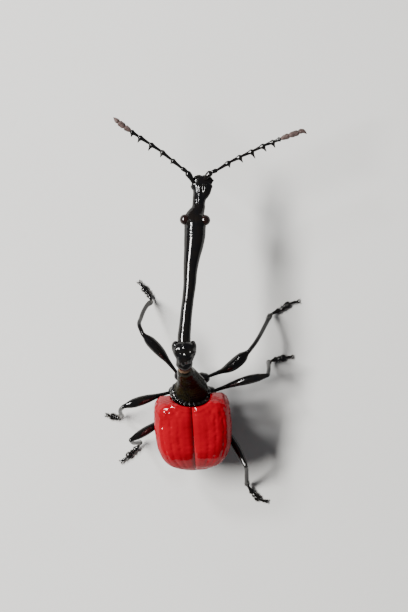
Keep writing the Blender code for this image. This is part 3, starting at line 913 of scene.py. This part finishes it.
def floor_finish():
    """The floor's own finish, a little uneven."""
    main = settings()[1].floor
    second = [part * FLOOR_SHADE for part in main[:3]] + [1.0]
    return skin_finish("floor_finish", main, second, *FLOOR_FINISH)


def snout_height(place, normal):
    """Ridges and lumps of the snout, hollows between the eyes, and the skin's small lumps."""
    x, y, _ = place
    rise = 0.0
    if normal.z > 0.1 and y > RIDGES_BEHIND:
        for x_front, x_back, y_front, y_back, high, wide in SNOUT_RIDGES:
            share = (y_front - y) / (y_front - y_back)
            middle = x_front + (x_back - x_front) * share
            length = fade(share, -0.12, 0.12) * (1 - fade(share, 0.75, 1.1))
            rise += high * length * bell(x - middle, wide) * settings()[0].ridge_height
        groove_x, starts, ends, deep, wide = SNOUT_GROOVE
        rise -= deep * bell(x - groove_x, wide) * fade(y, *starts) * (1 - fade(y, *ends))
    for *centre, high, wide in SNOUT_LUMPS:
        rise += high * bell((place - Vector(centre)).length, wide)
    if y > HEAD_BEHIND:
        for centre in EYES.values():
            away = (place - Vector(centre)).length
            rise += EYE_RING_RISE * bell(away - EYE_RING_RADIUS, EYE_RING_WIDTH)
        for hollow_x, hollow_y, deep, wide, long in HEAD_HOLLOWS:
            rise -= deep * bell(x - hollow_x, wide) * bell(y - hollow_y, long) * max(0.0, normal.z)
    fine = fade(y, 4.9, 5.8)
    rise += 0.009 * fine * grain(place, 0.09) + 0.0035 * grain(place, 0.20, 3.0)
    rise += 0.008 * grain(place, 0.6, 7.0)
    return rise


def make_head():
    """Snout, head and neck under one skin."""
    step = detail(1, 2)
    rows = rounded(curve(HEAD_STATIONS, 300 // step), (0.14, 0.1))
    skin = loft(rows, sides=84 // step)
    raise_skin(skin, snout_height)
    finish_piece("head_skin", skin, "black_skin", ("head", "neck"))


def make_eyes():
    """Two eyes, a little longer than wide."""
    for name, _ in SIDES:
        form = ball(EYES[name], (EYE_RADIUS, EYE_RADIUS * 1.02, EYE_RADIUS), rings=40, sides=64)
        finish_piece(f"eye_{name}_ball", form, "eye_skin", (f"eye_{name}",))


def at_side(stations, side):
    """Stations given from the mouth's middle, placed at its left or right."""
    return [(MOUTH_MIDDLE_X + side * x, y, z, wide, high) for x, y, z, wide, high in stations]


def make_mouthparts():
    """Curved jaws, the lip plate between them and two small palps."""
    for name, side in SIDES:
        jaw = at_side(MANDIBLE_STATIONS, side)
        palp = at_side(PALP_STATIONS, side)
        forms = [loft(rounded(curve(jaw, 14), (0.05, 0.05)), sides=20)]
        for out, y, size in MANDIBLE_KNOBS:
            centre = (MOUTH_MIDDLE_X + side * out, y, KNOB_LEVEL)
            forms.append(ball(centre, (size, size, size), rings=10, sides=14))
        forms.append(loft(rounded(curve(palp, 8), (0.03, 0.03)), sides=12))
        skin = fused(forms, JAW_VOXELS)
        finish_piece(
            f"mandible_{name}_jaw", skin, "wrinkled_skin", (f"mandible_{name}",)
        )
    rows = rounded(curve(LIP_STATIONS, 24), (0.04, 0.06))
    skin = loft(rows, sides=60, squareness=LIP_SQUARENESS)
    raise_skin(skin, lambda place, normal: 0.022 * grain(place, 0.12))
    finish_piece("lip_plate", skin, "wrinkled_skin")


def collar_height(place, normal):
    """Lumps of the collar's upper side, and the skin's small waves."""
    rise = 0.024 * grain(place, 0.30, 11.0) + 0.007 * grain(place, 0.13, 5.0)
    if normal.z > 0.0:
        for x, y, high, wide in COLLAR_LUMPS:
            rise += high * bell(math.hypot(place.x - x, place.y - y), wide)
    return rise


def joint_height(place, normal):
    """Folds round the soft joint, and small lumps."""
    return JOINT_FOLD_RISE * math.sin(place.z * JOINT_FOLDS) + 0.012 * grain(place, 0.2)


def make_collar():
    """The collar with its forward lobes, and the soft joint behind it."""
    forms = [loft(rounded(curve(COLLAR_STATIONS, 30), (0.08, 0.10)), sides=48)]
    x, y, z = LOBE_CENTRE
    for _, side in SIDES:
        forms.append(ball((x + side * LOBE_OUT, y, z), LOBE_RADII))
    skin = fused(forms, COLLAR_VOXELS, smooth_rounds=4)
    raise_skin(skin, collar_height)
    finish_piece("collar_skin", skin, "black_skin", ("neck_collar",))
    ring = loft(curve(JOINT_STATIONS, 22), sides=56)
    raise_skin(ring, joint_height)
    finish_piece("neck_joint", ring, "joint_skin")


def wrinkle_height(rows):
    """A height function for wrinkles across the prothorax and the groove before its rim."""
    depth = settings()[0].wrinkle_depth / MM
    groove, wide, deep = RIM_GROOVE
    middles = np.array([row[:3] for row in rows])

    def height(place, normal):
        share = float(np.argmin(((middles - np.array(place)) ** 2).sum(1))) / (len(rows) - 1)
        near = middles[int(share * (len(rows) - 1))]
        way = Vector(place) - Vector(near)
        if way.length < 0.25:
            return 0.0
        run = Vector(middles[-1] - middles[0]).normalized()
        along = (Vector(place) - Vector(middles[0])).dot(run)
        warp = 0.35 * grain(place, 0.55, 2.0) + 0.25 * grain(place, 0.2, 9.0)
        lines = math.sin(2 * math.pi * (along / WRINKLE_SPACING + warp * 1.1))
        live = fade(share, 0.05, 0.2) * (1 - fade(share, 0.80, 0.9))
        strength = 0.55 + 0.45 * grain(place, 0.5, 4.0)
        rise = depth * lines * live * strength
        rise -= deep * bell(share - groove, wide)
        return rise + 0.012 * grain(place, 0.4, 6.0)

    return height


def make_prothorax():
    """The cone behind the collar, wrinkled across, with a raised rim at its base."""
    rows = curve(PROTHORAX_STATIONS, 150)
    skin = loft(rounded(rows, (0.05, 0.10)), sides=detail(110, 56))
    raise_skin(skin, wrinkle_height(rows))
    finish_piece("prothorax_skin", skin, "wrinkled_skin", ("prothorax",))
    edge = []
    for row, out in zip(rows[-RIM_ROWS:], np.linspace(-1.0, 1.0, RIM_ROWS)):
        row = row.copy()
        row[3:] += RIM_RISE * math.sqrt(1.02 - out * out)
        edge.append(row)
    rim = loft(rounded(edge, (0.03, 0.03)), sides=160)
    middle_x, middle_y = rows[-1][:2]

    def bumps(place, normal):
        turn = math.atan2((place.y - middle_y) * RIM_STRETCH, place.x - middle_x)
        return RIM_BUMP_RISE * math.sin(RIM_BUMPS * turn) + 0.004 * grain(place, 0.30, 3.0)

    raise_skin(rim, bumps)
    finish_piece("prothorax_rim", rim, "black_skin")


def hind_turn():
    """Turns the hind body's own frame (x right, y forward, z up) into the model's frame."""
    return Matrix.Rotation(math.radians(HIND_YAW), 3, "Z") @ Matrix.Rotation(
        math.radians(HIND_PITCH), 3, "X"
    )


def hind_place(back, rise=0.0, right=0.0):
    """A point of the hind body, by how far it lies back, up and right of HIND_FRONT."""
    return Vector(HIND_FRONT) + hind_turn() @ Vector((right, -back, rise))


def hind_own(place):
    """A point of the model in the hind body's own frame."""
    return hind_turn().inverted() @ (Vector(place) - Vector(HIND_FRONT))


def hind_rows(shape):
    """Cross-sections from rows of (back, drop, half width, half height)."""
    return [(*hind_place(back, -drop), wide, high) for back, drop, wide, high in shape]


def wing_height(place, normal):
    """Lines with pits along the wing cases, their shoulders and border, and the skin's waves."""
    depth = settings()[0].stria_depth / MM
    count = settings()[0].stria_count
    own = hind_own(place)
    out = abs(own.x)
    share = -own.y / ELYTRA_LENGTH
    shares, wides, highs = zip(*ELYTRA_SHAPE)
    wide = ELYTRA_HALF_WIDTH * float(np.interp(share, shares, wides))
    high = ELYTRA_HEIGHT * float(np.interp(share, shares, highs))
    turn = math.degrees(math.atan2(out / wide, max(own.z, -1.0) / high))
    if turn > PLAIN_ANGLE:
        return 0.0
    side = 1.0 if own.x > 0 else -1.0
    spacing = LINES_ANGLE / count
    seed = round(turn / spacing) * 3.1
    line = turn / spacing + 0.12 * grain((share * 6, seed, side), 1.0)
    off = abs(line - round(line))
    live = fade(share, 0.10, 0.26) * (1 - fade(share, 0.88, 0.98)) * fade(line, 0.3, 0.9)
    groove = bell(off, 0.20)
    pit = fade(grain((own.y, round(line) * 3.7, side), 0.26, 5.0), -0.3, 0.5)
    rise = -depth * live * groove * (0.5 + 0.8 * pit)
    shoulder = SHOULDER_RISE * bell(out - SHOULDER_OUT, 0.45) * bell(share - 0.06, 0.08)
    rise += shoulder * max(0.0, normal.z)
    rise += BORDER_RISE * bell(share - 0.02, 0.025) * (1 - fade(out, 1.6, 2.2))
    rise -= FURROW_DEPTH * bell(share - 0.07, 0.03) * (1 - fade(out, 1.4, 2.0))
    rise -= SUTURE_DEPTH * bell(out, 0.03) * fade(own.z, 0.0, 0.4)
    rise -= HOLLOW_DEPTH * bell(out, 0.55) * bell(share - 0.32, 0.10)
    waves = grain((own.x * 0.8, own.y * 0.35, own.z), 0.55, 8.0)
    rise += WAVE_RISE * waves * fade(share, 0.05, 0.2)
    rise += LUMP_RISE * grain(place, 0.26, 1.0) * (1 - 0.75 * fade(share, 0.12, 0.3))
    middle_x, middle_y = PROTHORAX_STATIONS[-1][:2]
    across, along = BEAD_OVAL
    beyond = math.hypot((place[0] - middle_x) / across, (place[1] - middle_y) / along) - 1.0
    rise += BEAD_RISE * bell(beyond - 0.12, 0.11)
    return rise


def prothorax_room():
    """What the wing cases leave free: the prothorax's base and all that lies above it."""
    rows = curve(PROTHORAX_STATIONS, 60)
    base = rows[-1].copy()
    base[3:] += ROOM_CLEARANCE
    ahead = (rows[-1] - rows[-2])[:3]
    ahead = ahead / np.linalg.norm(ahead)
    low = base.copy()
    low[:3] += ahead * ROOM_DEPTH
    bm = loft([low, base], sides=96)
    ends = [face for face in bm.faces if len(face.verts) > 4]
    top = [face for face in ends if face.calc_center_median().z > ROOM_LEVEL]
    made = bmesh.ops.extrude_face_region(bm, geom=top)["geom"]
    verts = [item for item in made if isinstance(item, bmesh.types.BMVert)]
    bmesh.ops.translate(bm, vec=UP * ROOM_HEIGHT, verts=verts)
    bmesh.ops.delete(bm, geom=top, context="FACES")
    bmesh.ops.recalc_face_normals(bm, faces=bm.faces[:])
    return bm


def make_elytra():
    """Two domed wing cases with lines of pits, that meet along the suture."""
    shape = [
        (share * ELYTRA_LENGTH, 0.0, wide * ELYTRA_HALF_WIDTH, high * ELYTRA_HEIGHT)
        for share, wide, high in ELYTRA_SHAPE
    ]
    step = detail(1, 2)
    rows = rounded(curve(hind_rows(shape), 200 // step), (0.05, 0.10))
    right = hind_turn() @ ACROSS
    up = hind_turn() @ UP
    for name, side in SIDES:
        dome = loft(rows, across=right, sides=300 // step, squareness=ELYTRA_SQUARENESS)
        raise_skin(dome, wing_height)
        slice_off(dome, hind_place(0.0, 0.0, side * SUTURE_GAP), right * -side)
        slice_off(dome, hind_place(0.0, -ELYTRA_MARGIN), -up)
        dome = cut_away(dome, prothorax_room())
        finish_piece(f"elytron_{name}_case", dome, "wing_skin", (f"elytron_{name}",))


def trunk_height(place, normal):
    """Seams of the abdomen's plates, a groove across the thorax, and small lumps."""
    back = -hind_own(place).y
    rise = 0.012 * grain(place, 0.25, 12.0)
    for seam in TRUNK_SEAMS:
        rise -= SEAM_DEPTH * bell(back - seam, 0.045)
    rise -= GROOVE_DEPTH * bell(back - THORAX_GROOVE, 0.05)
    return rise


def make_trunk():
    """Thorax and abdomen with the seams of their plates."""
    right = hind_turn() @ ACROSS
    up = hind_turn() @ UP
    under = hind_place(0.0, -ELYTRA_MARGIN + TRUNK_LAP)
    for name, cut, facing in (("thorax", TRUNK_JOINT, 1), ("abdomen", TRUNK_JOINT + TRUNK_GAP, -1)):
        rows = rounded(curve(hind_rows(TRUNK_SHAPE), 120), (0.15, 0.12))
        skin = loft(rows, across=right, sides=90)
        raise_skin(skin, trunk_height)
        slice_off(skin, under, up)
        slice_off(skin, hind_place(cut), hind_turn() @ Vector((0.0, -facing, 0.0)))
        finish_piece(f"{name}_skin", skin, "black_skin", (name,))


def flat_side(points):
    """The level direction across a limb that runs through the points."""
    run = Vector(points[-1][:3]) - Vector(points[0][:3])
    return Vector((run.y, -run.x, 0.0)).normalized()


def limb(points, halves, count, ends=(0.04, 0.04), sides=24, flat=1.0):
    """A round limb along a smooth line; halves gives (share, half thickness) pairs."""
    line = curve(points, count)
    smooth = curve([(share * 10, half, 0.0) for share, half in halves], 80)
    shares = smooth[:, 0] / 10
    rows = []
    for place, share in zip(line, np.linspace(0.0, 1.0, count)):
        half = float(np.interp(share, shares, smooth[:, 1]))
        rows.append((*place, half, half * flat))
    return loft(rounded(rows, ends), across=flat_side(points), sides=sides)


def cone(root, tip, half):
    """A pointed cone from a root to a tip."""
    root, tip = Vector(root), Vector(tip)
    middle = (root + tip) / 2
    across = flat_side([root, tip]) if abs((tip - root).normalized().z) < 0.95 else ACROSS
    rows = [
        (*place, half * share, half * share)
        for place, share in ((root, 1.0), (middle, 0.68), (tip, 0.2))
    ]
    return loft(rounded(curve(rows, 6), (0.02, half * 0.1)), across=across, sides=12)


def make_scape(name, points):
    """The feeler's first segment, thickest past its middle."""
    skin = limb(points, SCAPE_HALVES, 40, ends=(0.05, 0.05), sides=32)
    raise_skin(skin, lambda place, normal: 0.006 * grain(place, 0.12))
    finish_piece(
        f"antenna_{name}_root", skin, "black_skin", (f"antenna_{name}_scape",)
    )


def make_funicle(name, joints, teeth):
    """The feeler's thin segments, each wider towards its end, with a tooth under most ends."""
    half = settings()[0].tooth_thickness / MM
    forms = []
    halves = FIRST_SEGMENT_HALVES
    for start, stop, tip in zip(joints, joints[1:], teeth):
        start, stop = Vector(start), Vector(stop)
        run = (stop - start).normalized()
        begin = start - run * 0.02
        end = stop + run * 0.01
        forms.append(limb((begin, (begin + end) / 2, end), halves, 22, (0.03, 0.03), 16))
        halves = SEGMENT_HALVES
        if tip:
            tip = Vector((*tip, stop.z - TOOTH_DROP))
            root = stop - run * TOOTH_BEHIND
            tip += (tip - root).normalized() * TOOTH_LONGER
            forms.append(cone(root, tip, half))
            forms.append(ball(root + (tip - root) * 0.22, (half * 1.15, half * 1.15, half), 8, 12))
    skin = fused(forms, FEELER_VOXELS, smooth_rounds=2)
    finish_piece(
        f"antenna_{name}_stem", skin, "black_skin", (f"antenna_{name}_funicle",)
    )


def make_club(name, points):
    """Three close, downy segments that swell and end in a point."""
    line = curve(points, CLUB_STEPS)
    forms = []
    for first, last, end, halves in CLUB_SEGMENTS:
        forms.append(limb(line[first : last + 1], halves, 20, (0.02, end), sides=20, flat=0.8))
    skin = fused(forms, CLUB_VOXELS, smooth_rounds=2)
    source = skin.copy()
    finish_piece(f"antenna_{name}_end", skin, "club_skin", (f"antenna_{name}_club",))
    along = (Vector(points[-1]) - Vector(points[0])).normalized()
    down = grow_hairs(source, count=420, length=0.055, half=0.0055, lean=along * 0.9, seed=5)
    finish_piece(f"antenna_{name}_down", down, "hair_finish")


def grow_hairs(source, count, length, half, lean, seed, keep=None):
    """Fine three-sided hairs on random faces of a form, which is freed."""
    draw = random.Random(seed)
    source.normal_update()
    spots = [
        (face.calc_center_median(), face.normal.copy(), face.calc_area())
        for face in source.faces
        if keep is None or keep(face.calc_center_median(), face.normal)
    ]
    source.free()
    coat = bmesh.new()
    if not spots:
        return coat
    count = detail(count, count // 4)
    weights = [spot[2] for spot in spots]
    for place, normal, _ in draw.choices(spots, weights=weights, k=count):
        way = normal + Vector(lean)
        way += Vector([draw.uniform(-0.25, 0.25) for _ in range(3)])
        way.normalize()
        reach = length * draw.uniform(0.7, 1.15)
        turn = way.to_track_quat("Z", "Y").to_matrix().to_4x4()
        middle = place + way * (reach / 2 - half)
        bmesh.ops.create_cone(
            coat,
            cap_ends=True,
            segments=3,
            radius1=half,
            radius2=half * 0.12,
            depth=reach,
            matrix=Matrix.Translation(middle) @ turn,
        )
    return coat


def make_antennae():
    """Two feelers, each of scape, funicle and club."""
    for name, parts in ANTENNAE.items():
        make_scape(name, parts["scape"])
        make_funicle(name, parts["joints"], parts["teeth"])
        make_club(name, parts["club"])


def make_foot(name, ankle, points):
    """A foot of three pads, the last one cleft, then the thin claw segment and two claws."""
    line = curve([(x, y, 0.0) for x, y in points], 60)

    def at(share, z):
        spot = line[int(round(share * (len(line) - 1)))]
        return Vector((spot[0], spot[1], z))

    def on_pads(place, normal):
        low, high = HAIRY_LEVELS
        return normal.z < 0.35 and low < place.z < high

    forms = []
    for first, last, z_first, z_last, halves in PAD_SPANS:
        middle = (first + last) / 2
        stations = (at(first, z_first), at(middle, (z_first + z_last) / 2), at(last, z_last))
        forms.append(limb(stations, halves, 18, sides=18, flat=0.9))
    below = at(0.06, 0.36)
    stations = (ankle, (Vector(ankle) + below) / 2, below)
    forms.append(limb(stations, ANKLE_HALVES, 10, ends=(0.05, 0.04), sides=14))
    ahead = (at(0.66, 0.0) - at(0.42, 0.0)).normalized()
    out = Vector((ahead.y, -ahead.x, 0.0))
    for side in (-1, 1):
        stations = [at(share, z) + out * side * away for share, z, away in CLEFT_PAD]
        forms.append(limb(stations, LOBE_HALVES, 16, sides=18, flat=0.85))
    stem = [at(share, z) for share, z in CLAW_STEM]
    forms.append(limb(stem, STEM_HALVES, 18, ends=(0.03, 0.03), sides=14))
    tip_way = (at(1.0, 0.0) - at(0.85, 0.0)).normalized()
    tip_out = Vector((tip_way.y, -tip_way.x, 0.0))
    root = stem[-1]
    reach = (at(1.0, 0.0) - at(0.88, 0.0)).length
    for side in (-1, 1):
        stations = [
            root + tip_way * reach * share + tip_out * side * away + UP * rise
            for share, away, rise in CLAW
        ]
        forms.append(limb(stations, CLAW_HALVES, 14, ends=(0.02, 0.01), sides=10))
    skin = fused(forms, LEG_VOXELS, smooth_rounds=2)
    slice_off(skin, (0.0, 0.0, SOLE_LEVEL), -UP)
    source = skin.copy()
    finish_piece(f"{name}_foot", skin, "black_skin", (f"{name}_tarsus",))
    length = settings()[0].hair_length / MM
    lean = (at(1.0, 0.0) - at(0.0, 0.0)).normalized() * 0.7 - UP * 0.25
    coat = grow_hairs(source, count=260, length=length, half=0.007, lean=lean, seed=3, keep=on_pads)
    for vert in coat.verts:
        vert.co.z = max(vert.co.z, HAIR_FLOOR)
    finish_piece(f"{name}_pad_hairs", coat, "hair_finish")


def make_hip(name, coxa):
    """The coxa, as two balls that meet the thorax."""
    inward = (Vector((HIND_FRONT[0], coxa.y, coxa.z)) - coxa).normalized()
    balls = (ball(coxa, HIP_OUTER), ball(coxa + inward * HIP_INWARD, HIP_INNER))
    skin = fused(balls, HIP_VOXELS, smooth_rounds=4)
    raise_skin(skin, lambda place, normal: 0.012 * grain(place, 0.3))
    finish_piece(f"{name}_hip", skin, "black_skin", (f"{name}_coxa",))


def make_thigh(name, coxa, middle, knee, thick):
    """The club-shaped femur."""
    start = coxa + (middle - coxa).normalized() * FEMUR_START
    halves = (
        (0.0, 0.11),
        (0.12, 0.13),
        (0.30, 0.19),
        (0.50, thick * 0.88),
        (0.68, thick),
        (0.84, thick * 0.86),
        (0.95, 0.18),
        (1.0, 0.15),
    )
    skin = limb((start, middle, knee), halves, 60, ends=(0.06, 0.12), sides=32)
    raise_skin(skin, lambda place, normal: 0.008 * grain(place, 0.2))
    finish_piece(f"{name}_thigh", skin, "black_skin", (f"{name}_femur",))


def make_shin(name, points):
    """The thin tibia with bristles along it, and two spurs and hairs at its end."""
    ankle = Vector(points[-1])
    run = (ankle - Vector(points[-2])).normalized()
    out = Vector((run.y, -run.x, 0.0))
    out = out.normalized() if out.length > 0.05 else ACROSS
    forms = [limb(points, TIBIA_HALVES, TIBIA_STEPS, ends=(0.06, 0.05), sides=20)]
    for side in (-1, 1):
        root = ankle - run * 0.06 + out * side * 0.08
        forms.append(cone(root, root + run * SPUR_LENGTH + out * side * 0.10, SPUR_HALF))
    line = curve(points, TIBIA_STEPS)
    for index in BRISTLE_STEPS:
        spot = Vector(line[index])
        way = (Vector(line[index + 1]) - spot).normalized()
        inner = way.cross(out).normalized()
        forms.append(cone(spot + inner * 0.06, spot + inner * 0.145 + way * 0.04, BRISTLE_HALF))
    skin = fused(forms, LEG_VOXELS, smooth_rounds=2)
    source = skin.copy()
    finish_piece(f"{name}_shin", skin, "black_skin", (f"{name}_tibia",))

    def low_end(place, normal):
        return (place - ankle).length < 0.9

    coat = grow_hairs(
        source, count=90, length=0.11, half=0.006, lean=run * 1.1, seed=9, keep=low_end
    )
    finish_piece(f"{name}_shin_hairs", coat, "hair_finish")


def make_leg(name, leg):
    """Coxa, club-shaped femur, thin tibia with end spurs, and foot."""
    coxa = Vector(leg["coxa"])
    middle, knee = (Vector(point) for point in leg["femur"])
    joint = knee + (Vector(leg["tibia"][0]) - knee).normalized() * 0.06
    make_hip(name, coxa)
    make_thigh(name, coxa, middle, knee, leg["thick"])
    make_shin(name, (joint, *leg["tibia"]))
    make_foot(name, Vector(leg["tibia"][-1]), leg["foot"])


def make_stage():
    """A pale floor, soft lights and the camera that looks straight down."""
    studio = settings()[2]
    ground = bmesh.new()
    bmesh.ops.create_grid(ground, x_segments=1, y_segments=1, size=FLOOR_HALF)
    floor = loose_object("floor", ground)
    floor.data.materials.append(floor_finish())
    world = bpy.data.worlds.new("studio")
    bpy.context.scene.world = world
    world.use_nodes = True
    back = world.node_tree.nodes["Background"]
    back.inputs["Color"].default_value = SKY_COLOUR
    back.inputs["Strength"].default_value = SKY_STRENGTH
    for name, power, size, spot, tint in LAMPS:
        light = bpy.data.lights.new(name, "AREA")
        light.energy = getattr(studio, power)
        light.shape = "RECTANGLE"
        light.size, light.size_y = size
        light.color = tint
        lamp = bpy.data.objects.new(name, light)
        lamp.location = spot
        lamp.rotation_euler = (Vector(spot) - LAMP_AIM).to_track_quat("Z", "Y").to_euler()
        bpy.context.scene.collection.objects.link(lamp)
    camera = bpy.data.cameras.new("camera")
    camera.sensor_fit = "VERTICAL"
    camera.sensor_height = SENSOR_HEIGHT
    camera.lens = studio.lens
    camera.clip_start, camera.clip_end = CLIP_RANGE
    holder = bpy.data.objects.new("camera", camera)
    holder.location = (0.0, CAMERA_FORWARD, studio.camera_height)
    bpy.context.scene.collection.objects.link(holder)
    bpy.context.scene.camera = holder


def make_legs():
    """Six legs, from the hips to the claws."""
    for name, leg in LEGS.items():
        make_leg(name, leg)


class WEEVIL_OT_head(Operator):
    """Make the snout, head and neck under one skin"""

    bl_idname = "weevil.head"
    bl_label = "Head and neck"

    def execute(self, context):
        make_head()
        return {"FINISHED"}


class WEEVIL_OT_eyes(Operator):
    """Make the two eyes"""

    bl_idname = "weevil.eyes"
    bl_label = "Eyes"

    def execute(self, context):
        make_eyes()
        return {"FINISHED"}


class WEEVIL_OT_mouthparts(Operator):
    """Make the jaws, the lip and the palps"""

    bl_idname = "weevil.mouthparts"
    bl_label = "Mouthparts"

    def execute(self, context):
        make_mouthparts()
        return {"FINISHED"}


class WEEVIL_OT_collar(Operator):
    """Make the collar and the soft joint behind it"""

    bl_idname = "weevil.collar"
    bl_label = "Collar"

    def execute(self, context):
        make_collar()
        return {"FINISHED"}


class WEEVIL_OT_prothorax(Operator):
    """Make the wrinkled prothorax with its base rim"""

    bl_idname = "weevil.prothorax"
    bl_label = "Prothorax"

    def execute(self, context):
        make_prothorax()
        return {"FINISHED"}


class WEEVIL_OT_elytra(Operator):
    """Make the two wing cases"""

    bl_idname = "weevil.elytra"
    bl_label = "Wing cases"

    def execute(self, context):
        make_elytra()
        return {"FINISHED"}


class WEEVIL_OT_trunk(Operator):
    """Make the thorax and the abdomen"""

    bl_idname = "weevil.trunk"
    bl_label = "Thorax and abdomen"

    def execute(self, context):
        make_trunk()
        return {"FINISHED"}


class WEEVIL_OT_antennae(Operator):
    """Make the two feelers with their teeth and clubs"""

    bl_idname = "weevil.antennae"
    bl_label = "Feelers"

    def execute(self, context):
        make_antennae()
        return {"FINISHED"}


class WEEVIL_OT_legs(Operator):
    """Make the six legs with their feet and hairs"""

    bl_idname = "weevil.legs"
    bl_label = "Legs"

    def execute(self, context):
        make_legs()
        return {"FINISHED"}


class WEEVIL_OT_stage(Operator):
    """Make the floor, the lights and the camera"""

    bl_idname = "weevil.stage"
    bl_label = "Stage"

    def execute(self, context):
        make_stage()
        return {"FINISHED"}


PIECES = (
    WEEVIL_OT_head,
    WEEVIL_OT_eyes,
    WEEVIL_OT_mouthparts,
    WEEVIL_OT_collar,
    WEEVIL_OT_prothorax,
    WEEVIL_OT_elytra,
    WEEVIL_OT_trunk,
    WEEVIL_OT_antennae,
    WEEVIL_OT_legs,
    WEEVIL_OT_stage,
)


class WEEVIL_PT_panel(Panel):
    """Lists the pieces, sizes, colours and studio"""

    bl_idname = "WEEVIL_PT_panel"
    bl_label = "Giraffe weevil"
    bl_space_type = "VIEW_3D"
    bl_region_type = "UI"
    bl_category = "Weevil"

    def draw(self, context):
        for piece in PIECES:
            self.layout.operator(piece.bl_idname)
        for group in settings():
            box = self.layout.box()
            for key in group.__annotations__:
                box.prop(group, key)


CLASSES = (WeevilSizes, WeevilColours, WeevilStudio, *PIECES, WEEVIL_PT_panel)


def register():
    for item in CLASSES:
        bpy.utils.register_class(item)
    bpy.types.Scene.weevil_sizes = PointerProperty(type=WeevilSizes)
    bpy.types.Scene.weevil_colours = PointerProperty(type=WeevilColours)
    bpy.types.Scene.weevil_studio = PointerProperty(type=WeevilStudio)


def unregister():
    del bpy.types.Scene.weevil_studio
    del bpy.types.Scene.weevil_colours
    del bpy.types.Scene.weevil_sizes
    for item in reversed(CLASSES):
        bpy.utils.unregister_class(item)


def main():
    register()
    for piece in PIECES:
        family, action = piece.bl_idname.split(".")
        getattr(getattr(bpy.ops, family), action)()
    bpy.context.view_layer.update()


if __name__ == "__main__":
    main()
